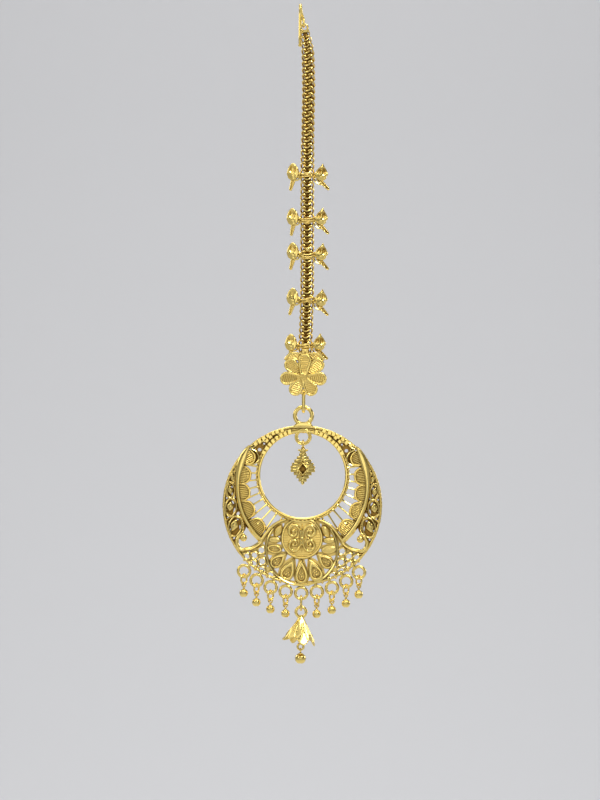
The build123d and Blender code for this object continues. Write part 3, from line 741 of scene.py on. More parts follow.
def stage_material():
    m = bpy.data.materials.new("studio_paper")
    m.use_nodes = True
    p = m.node_tree.nodes["Principled BSDF"]
    p.inputs["Roughness"].default_value = 0.9
    p.inputs["Base Color"].default_value = (0.62, 0.62, 0.63, 1)
    return m


def studio_sweep():
    """A pale floor that curves up into a backdrop well behind the object."""
    profile = [(-7.0, -0.42), (0.9, -0.42)]
    for k in range(1, 13):
        a = math.radians(90 * k / 12)
        profile.append((0.9 + 0.7 * math.sin(a), -0.42 + 0.7 * (1 - math.cos(a))))
    profile.append((1.6, 3.0))
    verts, faces = [], []
    for y, z in profile:
        verts += [(-7.0, y, z), (7.0, y, z)]
    for k in range(len(profile) - 1):
        faces.append([2 * k, 2 * k + 1, 2 * k + 3, 2 * k + 2])
    mesh = bpy.data.meshes.new("floor")
    mesh.from_pydata(verts, [], faces)
    mesh.shade_smooth()
    mesh.materials.append(stage_material())
    o = bpy.data.objects.new("floor", mesh)
    bpy.context.scene.collection.objects.link(o)


studio_sweep()

cam_data = bpy.data.cameras.new("camera")
cam_data.lens = 99.0
cam_data.sensor_width = 36.0
cam_data.clip_start = 0.01
cam = bpy.data.objects.new("camera", cam_data)
cam.location = (0.0011, -0.55, -0.0982)
cam.rotation_euler = (math.radians(90), math.radians(-0.7), 0)
bpy.context.scene.collection.objects.link(cam)
bpy.context.scene.camera = cam

bpy.context.scene.view_settings.view_transform = "Standard"
bpy.context.scene.view_settings.look = "None"

# ================================================================ hair hook
hook = Bag()
HOOK_PATH = [
    (0.72, 0, -3.15), (0.55, 0, -2.3), (0.12, -1.6, -1.5), (0, -1.6, 0.4), (0, 1.9, 0.4), (0, 2.1, -7.4), (0, 2.9, -9.0),
]
hook_line = fillet(HOOK_PATH, [0.6, 1.1, 1.15, 1.7, 2.0], 0.12)
hook_r = np.full(len(hook_line), 0.40)
hook_r[-14:] *= np.linspace(1, 0.86, 14)
sweep(hook, hook_line, hook_r, 14, kind=POLISHED)
ball(hook, (0, 2.9, -9.0), 0.46, 16, 10)
ring(hook, (0.9, 0, -4.0), 0.9, 0.6, 90, 44, 12)
# wire wrapped over the joint of stem and eye
wrap = []
for k in range(46):
    a = k / 12 * TAU
    z = -2.72 - 0.42 * k / 46
    wrap.append((0.64 + 0.03 * k / 46 + 0.40 * math.cos(a), 0.40 * math.sin(a), z))
sweep(hook, np.array(wrap), 0.10, 6, kind=WIRE)
hook.make("hook", "chain_body", "hair_hook")

# ================================================================ chain
CHAIN_ROUTE = [(1.15, -5.75), (2.00, -10.5), (2.35, -20.0), (2.20, -38.0), (2.36, -56.0), (2.60, -71.0), (2.20, -87.2)]
route = [np.array([x, 0.0, z]) for x, z in CHAIN_ROUTE]
radii = []
for before, corner, after in zip(route, route[1:], route[2:]):
    d0, d1 = unit(corner - before), unit(after - corner)
    turn = math.acos(max(-1, min(1, float(d0 @ d1))))
    radii.append(0.45 * min(np.linalg.norm(corner - before), np.linalg.norm(after - corner)) / math.tan(turn / 2))
chain_line = fillet(route, radii, 0.1)
chain_s = np.concatenate([[0], np.cumsum(np.linalg.norm(np.diff(chain_line, axis=0), axis=1))])
CHAIN_LEN = chain_s[-1]


def on_chain(s):
    """Middle, along and across directions of the chain at a distance from its top."""
    p = np.array([np.interp(s, chain_s, chain_line[:, k]) for k in range(3)])
    q = np.array([np.interp(min(s + 0.3, CHAIN_LEN), chain_s, chain_line[:, k]) for k in range(3)])
    o = np.array([np.interp(max(s - 0.3, 0), chain_s, chain_line[:, k]) for k in range(3)])
    t = unit(q - o)
    return p, t, unit(np.cross(t, np.array([0.0, 1.0, 0.0])))


def chain_twist(s):
    """The upper chain is turned a little about its own length."""
    z = s
    return math.radians(29.0) * (1 - min(1, max(0, (z - 26.0) / 10.0))) * min(1.0, max(0.0, (z - 1.0) / 4.0))


CHAIN_PITCH = 1.58
# the weave's links: column, across, forwards, half width, half height, lean
LINKS = [
    ("side", 0.885, 0.0, 0.655, 1.071, 43.2),
    ("front", 0.0, 0.232, 0.950, 1.197, -32.9),
    ("back", 0.0, -0.232, 0.950, 1.197, -32.9),
]
LINK_R = 0.235


def chain_link(bag, s, x, y, ra, rb, turn, lean, squeeze):
    p, t, side = on_chain(s)
    tw = chain_twist(s)
    fwd = np.array([0.0, -1.0, 0.0])
    sd = side * math.cos(tw) + fwd * math.sin(tw)
    fw = -side * math.sin(tw) + fwd * math.cos(tw)
    b, a = math.radians(turn), math.radians(lean)
    a1 = sd * math.cos(b) + fw * math.sin(b)
    perp = -sd * math.sin(b) + fw * math.cos(b)
    a2 = -t * math.cos(a) + perp * math.sin(a)
    c = p + sd * x * squeeze + fw * y * squeeze
    path = circle_path(c, a1, a2, ra * squeeze, rb, 24)
    sweep(bag, path, LINK_R * squeeze, 8, True, hint=np.cross(a1, a2), kind=CHAIN)


chain = Bag()
count = int((CHAIN_LEN - 1.2) / CHAIN_PITCH)
for k in range(count + 1):
    s = 0.85 + k * CHAIN_PITCH
    squeeze = 0.60 + 0.40 * min(1, s / 6.0)
    wob = rng.normal(0, 1, 6)
    name, x, y, ra, rb, lean = LINKS[0]
    for sg in (-1, 1):
        chain_link(chain, s + 0.010 * wob[0], sg * x, y, ra, rb, 0.6 * wob[1], lean + 0.7 * wob[2], squeeze)
    if s + CHAIN_PITCH / 2 < CHAIN_LEN - 0.3:
        for row in (1, 2):
            name, x, y, ra, rb, lean = LINKS[row]
            chain_link(chain, s + CHAIN_PITCH / 2, x, y, ra, rb, 0.6 * wob[3], lean + 0.7 * wob[4], squeeze)
ring(chain, (1.05, 0, -5.1), 0.85, 0.5, 0, 40, 12)
# a guess, not seen in the photo: a strand inside the weave, so that no background
# shows between the links; the photo shows the chain dark there, not open
core_s = np.linspace(0.9, CHAIN_LEN - 0.5, 230)
core = np.array([on_chain(s)[0] for s in core_s])
core_r = 0.92 * (0.60 + 0.40 * np.minimum(1, core_s / 6.0))
# its dark brown gold is painted shade between the links
sweep(chain, core, core_r, 12, hint=(0, -1, 0), tall=0.40, rope=0.14, pitch=CHAIN_PITCH, kind=PAINTED_SHADE)
# a soldered cap at each end keeps the last links together
for s, wide in ((0.45, 0.9), (CHAIN_LEN - 0.35, 1.35)):
    p, t, side = on_chain(s)
    sweep(chain, circle_path(p, side, (0, -1, 0), wide, 0.75, 32), 0.26, 8, True, hint=t, kind=POLISHED)
chain.make("chain_links", "chain_body", "chain")


def chain_x(z):
    return float(np.interp(-z, -chain_line[:, 2], chain_line[:, 0]))


# ================================================================ side charms
# lobes of a charm, as fractions of its width and height from its middle, outwards and up
EGG = [(0.02, 0.52), (0.20, 0.45), (0.35, 0.29), (0.45, 0.09), (0.50, -0.12), (0.44, -0.25), (0.40, -0.34), (0.26, -0.45),
       (0.04, -0.50), (-0.22, -0.46), (-0.42, -0.31), (-0.50, -0.08), (-0.45, 0.13), (-0.33, 0.31), (-0.16, 0.46)]
SHIELD = [(0.08, 0.53), (0.19, 0.37), (0.33, 0.22), (0.45, 0.05), (0.51, -0.10), (0.46, -0.20), (0.36, -0.25), (0.37, -0.35),
          (0.22, -0.46), (0.0, -0.50), (-0.24, -0.46), (-0.42, -0.34), (-0.50, -0.12), (-0.45, 0.08), (-0.30, 0.22), (-0.09, 0.37)]
LOBE_W, LOBE_H, LOBE_X, LOBE_Z = 3.1, 4.2, 3.60, 0.75


def bar_loop(root, tip, w0, w1, n=10):
    """A bar with a round far end."""
    root, tip = np.asarray(root, float), np.asarray(tip, float)
    along = unit(tip - root)
    across = np.array([-along[1], along[0]])
    a = np.linspace(-math.pi / 2, math.pi / 2, n)
    cap = tip - along * w1 + w1 * (np.cos(a)[:, None] * along + np.sin(a)[:, None] * across)
    return np.vstack([[root - across * w0], cap, [root + across * w0]])


def side_charm(number, z, hollow, sag):
    bag = Bag()
    x = chain_x(z)
    wob = rng.normal(0, 1, 10)
    for side in (-1, 1):
        pl = Front(x, 0.0, z, side, turn=float(wob[0 if side < 0 else 1]) * 1.8)
        shape = EGG if side < 0 else SHIELD
        loop = smooth([(LOBE_X + a * LOBE_W, LOBE_Z + b * LOBE_H) for a, b in shape], 90, True)[:, :2]
        ox, oz = LOBE_X, LOBE_Z

        def left_face(p, d, ox=ox, oz=oz):
            """Rounded border, broad facet on the chain side, hollow in the middle, lumps low outside."""
            h = 0.0 + 0.30 * np.sqrt(np.clip(1 - (1 - np.clip(d / 0.26, 0, 1)) ** 2, 0, 1))
            facet = 1 - step01(p[:, 0] - ox + 0.20 * (p[:, 1] - oz) + 0.12 * (p[:, 1] - oz) ** 2, -0.85, -0.35)
            h += 0.12 * facet * np.clip(d / 0.3, 0, 1)
            inner = step01(d, 0.24, 0.62) * (1 - facet)
            h -= inner * (0.04 + 0.60 * hollow * hump(p, ox + 0.10, oz + 0.72, 0.62, 0.78, -20))
            h += 0.16 * hump(p, ox + 0.30, oz - 0.85, 0.95, 0.60, 15)
            # a flat facet falls away low on the outer side
            h = np.minimum(h, 0.46 - 0.30 * np.clip((p[:, 0] - ox) * 0.75 - (p[:, 1] - oz) * 0.66 - 0.62, 0, 2))
            return h

        def right_face(p, d, ox=ox, oz=oz):
            """A middle ridge between two hollows, a full lower part."""
            h = 0.0 + 0.26 * np.sqrt(np.clip(1 - (1 - np.clip(d / 0.26, 0, 1)) ** 2, 0, 1))
            inner = step01(d, 0.16, 0.42)
            line = p[:, 0] - ox - 0.10 * (p[:, 1] - oz)
            h += 0.16 * np.exp(-((line / 0.24) ** 2)) * inner * step01(p[:, 1], oz - 0.9, oz + 0.3)
            for q, deep in ((-0.60, 0.38), (0.56, 0.42)):
                h -= 1.25 * deep * (0.55 + 0.45 * hollow) * hump(p, ox + q, oz + 0.42, 0.36, 0.74, 8 * q) * inner
            h += 0.20 * hump(p, ox - 0.20, oz - 1.05, 0.95, 0.62)
            h += 0.12 * hump(p, ox + 1.22, oz - 0.55, 0.30, 0.34)
            return h

        face = left_face if side < 0 else right_face
        relief(bag, pl, loop, face, -0.24, step=0.085, rows=(0.03, 0.08, 0.15, 0.24),
               finish=lambda p, d, f=face: np.where(f(p, np.maximum(d, 0)) > 0.17, POLISHED, SATIN))
        # short stout arms from the chain
        arm = smooth([(1.55, 0.05), (2.05, 0.35), (2.60, 0.25)], 12)
        border(bag, pl, arm, np.linspace(0.36, 0.44, 12), 0.02, closed=False, tall=0.8, sides=12)
        arm = smooth([(1.55, -0.30), (2.1, -0.45), (2.75, -0.30)], 12)
        border(bag, pl, arm, np.linspace(0.30, 0.38, 12), 0.0, closed=False, tall=0.8, sides=12)
        # grooved tail
        if side < 0:
            tail = bar_loop((3.30, -0.60), (4.18, -4.0), 0.66, 0.40)

            def groove(p, d):
                return -0.02 + 0.20 * np.sqrt(np.clip(1 - (1 - np.clip(d / 0.2, 0, 1)) ** 2, 0, 1)) - 0.22 * step01(d, 0.20, 0.42)

            strut = smooth([(1.80, -0.75), (2.4, -1.25), (3.1, -1.35)], 12)
            border(bag, pl, strut, [0.20] * 12, 0.0, closed=False)
        else:
            tail = bar_loop((2.55, -0.65), (5.50, -3.62), 0.64, 0.36)

            def groove(p, d):
                return 0.02 + 0.22 * np.sqrt(np.clip(1 - (1 - np.clip(d / 0.17, 0, 1)) ** 2, 0, 1)) - 0.30 * step01(d, 0.20, 0.36)

            strut = smooth([(1.75, -0.85), (2.15, -1.75), (3.1, -2.25), (3.75, -2.1)], 16)
            border(bag, pl, strut, np.linspace(0.17, 0.2, 16), -0.02, closed=False)
        relief(bag, pl, tail, groove, -0.17, step=0.085, rows=(0.03, 0.08, 0.16), finish=lambda p, d: np.where(d < 0.28, POLISHED, SATIN))
    # wires bound round the chain; they sag in front where sag is set
    for dz, tilt, r in ((0.34, 7.0, 0.17), (-0.02, -9.0, 0.19), (-0.38, 5.0, 0.17)):
        a = math.radians((tilt + 3 * wob[3]) * (1 - 0.7 * sag))
        t = np.arange(56) / 56 * TAU
        path = circle_path((x, 0, z + dz), (math.cos(a), 0, math.sin(a)), (0, -1, 0), 1.86, 1.29, 56)
        path[:, 2] -= sag * (0.55 + 0.25 * (dz < 0)) * np.clip(np.sin(t), 0, 1) ** 1.5
        sweep(bag, path, r, 9, True, hint=(-math.sin(a), 0, math.cos(a)), kind=WIRE)
    if sag > 0.9:
        ball(bag, (x + 0.1, -1.02, z + 1.15), 0.62, 24, 16, squash=(1, 0.62, 1))
    for side in (-1, 1):
        ball(bag, (x + side * 1.86, 0, z + 0.02), 0.36, 14, 10, squash=(0.9, 1.0, 1.7), kind=WIRE)
    bag.make(f"charm_{number}", "chain_body", f"side_charm_{number}")


# height, how deep its hollows are, how far its wires sag
CHARMS = [(-42.0, 1.0, 0.0), (-53.0, 0.9, 0.7), (-61.75, 1.0, 1.0), (-73.25, 0.35, 0.0), (-84.6, 0.8, 0.2)]
for number, (z, hollow, sag) in enumerate(CHARMS, 1):
    side_charm(number, z, hollow, sag)

# ================================================================ chain flower
FX, FZ = 1.875, -92.75
flower = Bag()
fl = Front(FX, -1.35, FZ)
# petal: end's middle across and up, how far it stands forwards, turn of its hatch
PETALS = [(-3.15, 3.25, 0.04, -14), (3.55, 3.30, 0.04, 16), (-4.15, -0.10, 0.13, 12), (4.15, -0.10, 0.13, -12),
          (-1.95, -2.75, 0.22, 20), (1.95, -2.75, 0.22, -20), (0.30, 4.45, 0.30, 4)]
R, ROOT = 1.72, 0.80


def petal_depth(p, pu, pv):
    """How far points lie inside a petal: a tongue that widens from the flower's middle to a round end."""
    dist = math.hypot(pu, pv)
    ax = np.array([pu, pv]) / dist
    x = p @ ax
    y = np.abs(p @ np.array([-ax[1], ax[0]]))
    b = (ROOT - R) / dist
    a = math.sqrt(1 - b * b)
    k = -b * y + a * x
    out = np.where(k < 0, np.hypot(x, y) - ROOT, np.where(k > a * dist, np.hypot(x - dist, y) - R, a * y + b * x - ROOT))
    return -out, x, p @ np.array([-ax[1], ax[0]])


theta = np.arange(720) / 720 * TAU
out_to = np.arange(0.8, 7.0, 0.02)
ray = np.stack([np.cos(theta)[:, None] * out_to, np.sin(theta)[:, None] * out_to], -1).reshape(-1, 2)
covered = np.max([petal_depth(ray, pu, pv)[0] for pu, pv, _, _ in PETALS], axis=0).reshape(720, -1) > 0
reach = out_to[covered.shape[1] - 1 - np.argmax(covered[:, ::-1], axis=1)]
soft = sum(np.roll(reach, q) for q in range(-3, 4)) / 7
outline = np.stack([soft * np.cos(theta), soft * np.sin(theta)], 1)


def flower_face(p, d):
    h = np.full(len(p), 0.24)
    for pu, pv, lift, tilt in sorted(PETALS, key=lambda q: q[2]):
        depth, x, y = petal_depth(p, pu, pv)
        rim = np.sqrt(np.clip(1 - (1 - np.clip(depth / 0.26, 0, 1)) ** 2, 0, 1))
        a = math.radians(tilt)
        along = x * math.cos(a) + y * math.sin(a)
        inner = step01(depth, 0.40, 0.66) * step01(x, 0.9, 1.5)
        lines = (0.04 - 0.13 * (0.5 - 0.5 * np.cos(along * TAU / 0.50)) ** 2.2) * step01(depth, 0.50, 0.72) * step01(x, 1.3, 1.7)
        own = 0.24 + lift + 0.32 * rim - 0.20 * inner + lines
        over = step01(depth, 0.0, 0.16)
        h = np.where(depth > 0, np.maximum(h * (1 - over), own), h)
    # a knobbly middle where the petals' rims run together
    h += 0.14 * hump(p, 0.30, 0.60, 0.50, 0.44) + 0.12 * hump(p, -0.50, 0.20, 0.40, 0.36, 30) + 0.10 * hump(p, 0.45, -0.30, 0.40, 0.36)
    h -= 0.12 * hump(p, 0.0, 0.12, 0.26, 0.20)
    edge = np.sqrt(np.clip(1 - (1 - np.clip(d / 0.12, 0, 1)) ** 2, 0, 1))
    return 0.10 + (h - 0.10) * edge


def flower_finish(p, d):
    return np.where(np.max([petal_depth(p, pu, pv)[0] for pu, pv, _, _ in PETALS], axis=0) > 0.62, SATIN, POLISHED)


relief(flower, fl, outline, flower_face, -0.02, step=0.078, rows=(0.03, 0.08, 0.15, 0.24, 0.34), finish=flower_finish)


# two flat leaves above
def leaf_face(p, d):
    rim = np.sqrt(np.clip(1 - (1 - np.clip(d / 0.2, 0, 1)) ** 2, 0, 1))
    return 0.06 + 0.32 * rim - 0.14 * step01(d, 0.26, 0.5) + (0.04 - 0.12 * (0.5 - 0.5 * np.cos((p[:, 0] + p[:, 1]) * TAU / 0.72)) ** 2.2) * step01(d, 0.4, 0.6)


for side in (-1, 1):
    leaf = smooth([(side * 0.1 + 0.2, 5.9), (side * 1.8 + 0.2, 6.45), (side * 3.3 + 0.2, 6.35), (side * 4.2 + 0.2, 5.7), (side * 4.80 + 0.2, 4.55),
                   (side * 4.2 + 0.2, 4.15), (side * 3.0 + 0.2, 4.75), (side * 1.4 + 0.2, 4.3)], 60, True)[:, :2]
    relief(flower, fl, leaf, leaf_face, 0.04, step=0.085, rows=(0.03, 0.09, 0.18), finish=lambda p, d: np.where(d < 0.35, POLISHED, SATIN))
    tip = smooth([(side * 3.3 + 0.2, 6.45), (side * 4.25 + 0.2, 5.6), (side * 4.85 + 0.2, 4.6)], 14)
    border(flower, fl, tip, np.linspace(0.18, 0.26, 14), 0.26, closed=False, tall=0.8)
# back plate, staple through the chain's last link, and the lug behind
sx = CHAIN_ROUTE[-1][0] + 0.02
staple = fillet([(sx, -1.6, -86.2), (sx, 1.62, -86.2), (sx, 1.62, -88.15), (sx, -1.6, -88.15)], [0.5, 0.5], 0.12)
sweep(flower, staple, 0.25, 10)
back = Front(sx, -1.35, -87.0)
plate(flower, back, rounded([(-0.8, -1.5), (0.8, -1.5), (0.8, 1.5), (-0.8, 1.5)], 0.3), [], -0.10, 0.30, kind=SATIN)
ring(flower, (2.0, 0.35, -95.4), 1.25, 0.6, 0, 48, 12)
sweep(flower, resample(np.array([(2.0, -1.25, -94.15), (2.0, 0.35, -94.15)]), 0.2), 0.36, 10)
flower.make("flower", "chain_body", "chain_flower")

# ================================================================ pendant link
PX, PY = 2.0, 0.35
top_z, low_z, bend = -96.92, -102.1 + 2.14, 1.1
pts = [(PX, PY + bend * math.cos(a), top_z + bend * math.sin(a)) for a in np.linspace(0, math.pi, 17)]
pts += [(PX, PY - bend, z) for z in np.linspace(top_z, low_z, 9)[1:-1]]
pts += [(PX, PY - bend * math.cos(a), low_z - bend * math.sin(a)) for a in np.linspace(0, math.pi, 17)]
pts += [(PX, PY + bend, z) for z in np.linspace(low_z, top_z, 9)[1:-1]]
plink = Bag()
sweep(plink, np.array(pts), 0.45, 14, True, hint=(1, 0, 0))
plink.make("link", "link_body", "pendant_link")

# ================================================================ crescent
CZ = -124.5
cr = Bag()
P = {s: Front(PX, PY, CZ, s) for s in (-1, 1)}
OUT_R, HOLE_R, HOLE_UP = 20.0, 10.6, 7.5
bu, bv, br = circle_through((13.4, 14.8), (16.2, 3.5), (10.1, -8.8))
ang0 = math.atan2(14.8 - bv, 13.4 - bu)
ang1 = math.atan2(-8.8 - bv, 10.1 - bu)


def polar_up(cu, cv, deg, r):
    """From straight up, towards +u."""
    a = math.radians(deg)
    return cu + r * math.sin(a), cv + r * math.cos(a)


def strand(p, line, r):
    """Height of a rounded strand laid along a line: 1 on its crest, 0 beside it."""
    line = np.asarray(line, float)[:, :2]
    r = np.broadcast_to(np.asarray(r, float), (len(line),))
    a, e = line[:-1], line[1:] - line[:-1]
    rel = p[:, None, :] - a[None]
    t = np.clip((rel * e[None]).sum(-1) / np.maximum((e * e).sum(1), 1e-12), 0, 1)
    dist = np.sqrt(((rel - t[..., None] * e[None]) ** 2).sum(-1))
    x = (dist / (r[:-1] + (r[1:] - r[:-1]) * t)).min(1)
    return np.sqrt(np.maximum(0, 1 - x * x))


# --- outer rim: two plain strands at the top, lumpy lower down
border(cr, P[1], arc(0, 0, 19.62, 180 - 24, 180 + 24, 70), 0.37, 0.05, closed=False, sides=12)
lumps = 0.37 + 0.035 * np.sin(np.arange(460) * 0.55) * np.sin(np.arange(460) * 0.171)
border(cr, P[1], arc(0, 0, 19.62, -157, 157, 460), lumps, 0.05, closed=False, sides=11, rope=0.07, pitch=0.95, kind=WIRE)
# --- rim of the hole: a smooth inner strand, a finely twisted one beside it
border(cr, P[1], arc(0, HOLE_UP, 11.02, 180 - 27, 180 + 27, 60), 0.42, 0.02, closed=False, sides=12, wide=1.1)
border(cr, P[1], arc(0, HOLE_UP, 10.95, -155, 155, 190), 0.35, 0.08, closed=False, sides=10, tall=1.15)
border(cr, P[1], arc(0, HOLE_UP, 11.44, -154, 154, 470), 0.35, 0.15, closed=False, sides=12, rope=0.20, pitch=1.0, kind=WIRE)

# --- floor between the two rims at the top, pierced by two small holes either side; its dark brown gold is painted shade
for s in (-1, 1):
    a = arc(0, 0, 19.45, 179.9, 180 - 42.6, 30)
    b = arc(0, HOLE_UP, 11.1, 180 - 72, 179.9, 30)
    side_line = [(13.0, 14.0), (11.75, 13.0)]
    pierced = [oval(0.46, 0.42, 16) + [10.85, 13.75], oval(0.24, 0.24, 12) + [9.73, 15.27]]
    plate(cr, P[s], np.vstack([a, side_line, b]), pierced, -0.25, -0.02, 0.04, kind=PAINTED_SHADE)

# --- blocks either side: close rows of small squares with dark gaps between them, where the painted-shade floor shows
# from and to (degrees from straight up), pitch, middle up, radius, width, height
BLOCK_ROWS = [(15.8, 38.5, 3.70, 0.0, 19.34, 1.06, 0.98), (17.2, 66.0, 6.1, HOLE_UP, 11.26, 1.02, 1.16),
              (40.6, 60.0, 6.1, HOLE_UP, 12.50, 1.0, 0.86), (47.5, 54.5, 5.6, HOLE_UP, 13.50, 0.9, 0.74)]
for s in (-1, 1):
    for a0, a1, pitch, up, radius, wide, high in BLOCK_ROWS:
        for deg in np.arange(a0, a1, pitch):
            j = rng.normal(0, 1, 4).clip(-1.6, 1.6)
            u, v = polar_up(0, up, deg + 0.25 * j[0], radius + 0.03 * j[1])
            if up and radius > 12 and min(math.hypot(u - 10.85, v - 13.75), math.hypot(u - 9.73, v - 15.27)) < 0.85:
                continue
            block(cr, P[s], u, v, wide * (1 + 0.06 * j[2]), high, -0.2, 0.66 + 0.05 * j[3], -deg + 4 * j[1], 0.15)
    # a strand fills the gap between the two rims, then one strip across to the band
    deg = np.linspace(-1, 19, 36)
    th = np.radians(deg)
    low = HOLE_UP * np.cos(th) + np.sqrt(11.42**2 - (HOLE_UP * np.sin(th)) ** 2)
    mid_r = (19.27 + low) / 2
    line = np.stack([mid_r * np.sin(th), mid_r * np.cos(th)], 1)
    border(cr, P[s], line, np.maximum(0.2, (19.27 - low) / 2 + 0.05), 0.02, closed=False, sides=10)
    border(cr, P[s], smooth([(9.7, 15.9), (10.7, 15.85), (11.7, 15.55), (12.9, 14.75)], 16), 0.24, 0.36, closed=False, sides=8)
    border(cr, P[s], smooth([(11.6, 14.9), (12.2, 14.45), (12.9, 14.2)], 10), 0.20, 0.32, closed=False, sides=8)
    for u, v, r in ((8.95, 17.1, 0.24), (10.1, 16.6, 0.24), (11.4, 16.1, 0.24), (12.35, 15.35, 0.24), (11.9, 13.95, 0.24), (10.0, 14.9, 0.2)):
        ball(cr, P[s].at(u, v, 0.26), r, 10, 7, kind=WIRE)

# --- polished band: a broad blade at the top that narrows to a corner
N = 96
f = np.linspace(0, 1, N)
ang = ang0 + (ang1 - ang0) * f
half = np.interp(f, [0, 0.04, 0.12, 0.22, 0.33, 0.5, 0.8, 1.0], [0.12, 0.52, 0.92, 0.90, 0.58, 0.44, 0.42, 0.38])
hgt = np.interp(f, [0, 0.1, 0.3, 1.0], [0.55, 0.78, 0.88, 0.98])
slope = np.interp(f, [0, 0.3, 0.45, 1.0], [0.10, 0.10, 0.34, 0.42])
for s in (-1, 1):
    rows = []
    for off, wide, dep in ((-1, 0, -9.0), (-1, 0, -0.26), (-0.86, 0, -0.05), (-0.55, 0, 0.04), (-0.25, 0, 0.06), (0.15, 0, 0.03), (0.6, 0, -0.03), (0.94, 0, -0.18), (1, 0.35, -0.55), (1, 1.0, -0.86), (1, 1.0, -9.0)):
        rr = br + off * half + wide * slope
        d = np.full(N, -0.28) if dep < -5 else hgt + dep
        rows.append(P[s].at(bu + rr * np.cos(ang), bv + rr * np.sin(ang), d))
    v = np.stack(rows, 1)
    m = len(rows)
    faces = grid_faces(N, m, False, True) + [list(range(m)), [(N - 1) * m + j for j in range(m - 1, -1, -1)]]
    cr.add(v, faces, POLISHED)
    # arch from the corner in to the rope
    archl = smooth([(10.35, -9.1), (9.25, -7.5), (7.75, -5.6), (6.1, -4.35), (4.2, -3.62)], 40)
    border(cr, P[s], archl, np.interp(np.linspace(0, 1, 40), [0, 0.3, 1], [0.42, 0.42, 0.28]), 0.42, closed=False, tall=1.15, sides=12)
    # lower wall of the open gap
    wall = smooth([(10.15, -8.85), (10.82, -9.76), (12.53, -10.85), (14.16, -11.15)], 30)
    e = unit(np.gradient(wall, axis=0))
    nrm = np.stack([-e[:, 1], e[:, 0]], 1)
    rows = []
    for off, dep in ((0.5, -0.28), (0.5, -0.10), (0.10, 0.62), (-0.06, 0.78), (-0.30, 0.78), (-0.42, 0.60), (-0.42, -0.28)):
        q = wall + nrm * off
        rows.append(P[s].at(q[:, 0], q[:, 1], dep))
    v = np.stack(rows, 1)
    m = len(rows)
    faces = grid_faces(30, m, False, True) + [list(range(m)), [29 * m + j for j in range(m - 1, -1, -1)]]
    cr.add(v, faces, POLISHED)

# --- strip behind the scallops, inside the band
f2 = np.linspace(0.05, 0.985, 60)
a2 = ang0 + (ang1 - ang0) * f2
for s in (-1, 1):
    inn = np.stack([bu + (br - 1.35) * np.cos(a2), bv + (br - 1.35) * np.sin(a2)], 1)
    outl = np.stack([bu + (br - 0.1) * np.cos(a2), bv + (br - 0.1) * np.sin(a2)], 1)
    plate(cr, P[s], np.vstack([outl, inn[::-1]]), [], -0.22, 0.05, 0.06)

# --- scallop shells: middle across and up, half length along the band, reach
SCALLOPS = [(13.05, 11.55, 1.75, 2.25), (14.75, 7.35, 2.15, 2.45), (14.85, 3.1, 2.12, 2.35), (13.85, -1.25, 2.18, 2.5), (11.3, -5.5, 2.2, 2.7)]
for s in (-1, 1):
    for q, (su, sv, half_len, reach_in) in enumerate(SCALLOPS):
        a = math.atan2(sv - bv, su - bu)
        base = np.array([bu + (br - 0.55) * math.cos(a), bv + (br - 0.55) * math.sin(a)])
        outn = np.array([math.cos(a), math.sin(a)])
        tan = np.array([-outn[1], outn[0]])
        periods = round(2 * half_len / 0.45)
        n, m = periods * 8 + 1, 8
        ss = np.linspace(-1, 1, n)
        S, T = np.meshgrid(ss, np.linspace(0, 1, m), indexing="ij")
        edge = np.sqrt(np.maximum(0, 1 - np.abs(S) ** 2.3))
        bend_in = (half_len * S) ** 2 / (2 * br)
        along, inwd = half_len * S, reach_in * T * edge + bend_in
        ribs = 0.08 - 0.18 * (0.5 - 0.5 * np.cos(S * math.pi * periods)) ** 2.2
        dish = 0.24 + 0.16 * (1 - T) * edge + ribs * np.minimum(1, edge * 1.8) * np.clip((1 - T) * 5, 0, 1)
        uu = base[0] + tan[0] * along - outn[0] * inwd
        vv = base[1] + tan[1] * along - outn[1] * inwd
        v = np.concatenate([P[s].at(uu, vv, dish).reshape(-1, 3), P[s].at(uu, vv, -0.2).reshape(-1, 3)])
        k = n * m
        # the back is one plain rim of quads, the front holds the ribs
        faces = grid_faces(n, m)
        around = [i * m for i in range(n)] + [(n - 1) * m + j for j in range(1, m)] + [i * m + m - 1 for i in range(n - 2, -1, -1)] + [j for j in range(m - 2, 0, -1)]
        for i in range(len(around)):
            p0, p1 = around[i], around[(i + 1) % len(around)]
            faces.append([p0, p1, k + p1, k + p0])
        for i in range(n - 1):
            faces.append([k + i * m, k + i * m + m - 1, k + (i + 1) * m + m - 1, k + (i + 1) * m])
        cr.add(v, faces, POLISHED)
        th = np.linspace(-1, 1, 40)
        e = np.sqrt(np.maximum(0, 1 - np.abs(th) ** 2.3))
        along, inwd = half_len * th * 1.02, (reach_in + 0.02) * e + (half_len * th) ** 2 / (2 * br)
        line = base[None] + tan[None] * along[:, None] - outn[None] * inwd[:, None]
        border(cr, P[s], line, 0.20 + 0.11 * e, 0.30, closed=False, sides=10, tall=1.15)
    # crescent-shaped recess beyond the first shell, with its small hole; its floor is dark brown gold, painted shade
    edge_a = smooth([(12.9, 13.9), (11.75, 13.35), (11.05, 12.2), (11.15, 11.05), (11.95, 10.3), (12.95, 10.0), (13.9, 10.05)], 34)
    border(cr, P[s], edge_a, 0.20, 0.26, closed=False, sides=8, tall=1.2)
    plate(cr, P[s], np.vstack([edge_a[:, :2], [(14.2, 11.5), (13.9, 13.0)]]), [], -0.22, -0.06, 0.04, kind=PAINTED_SHADE)

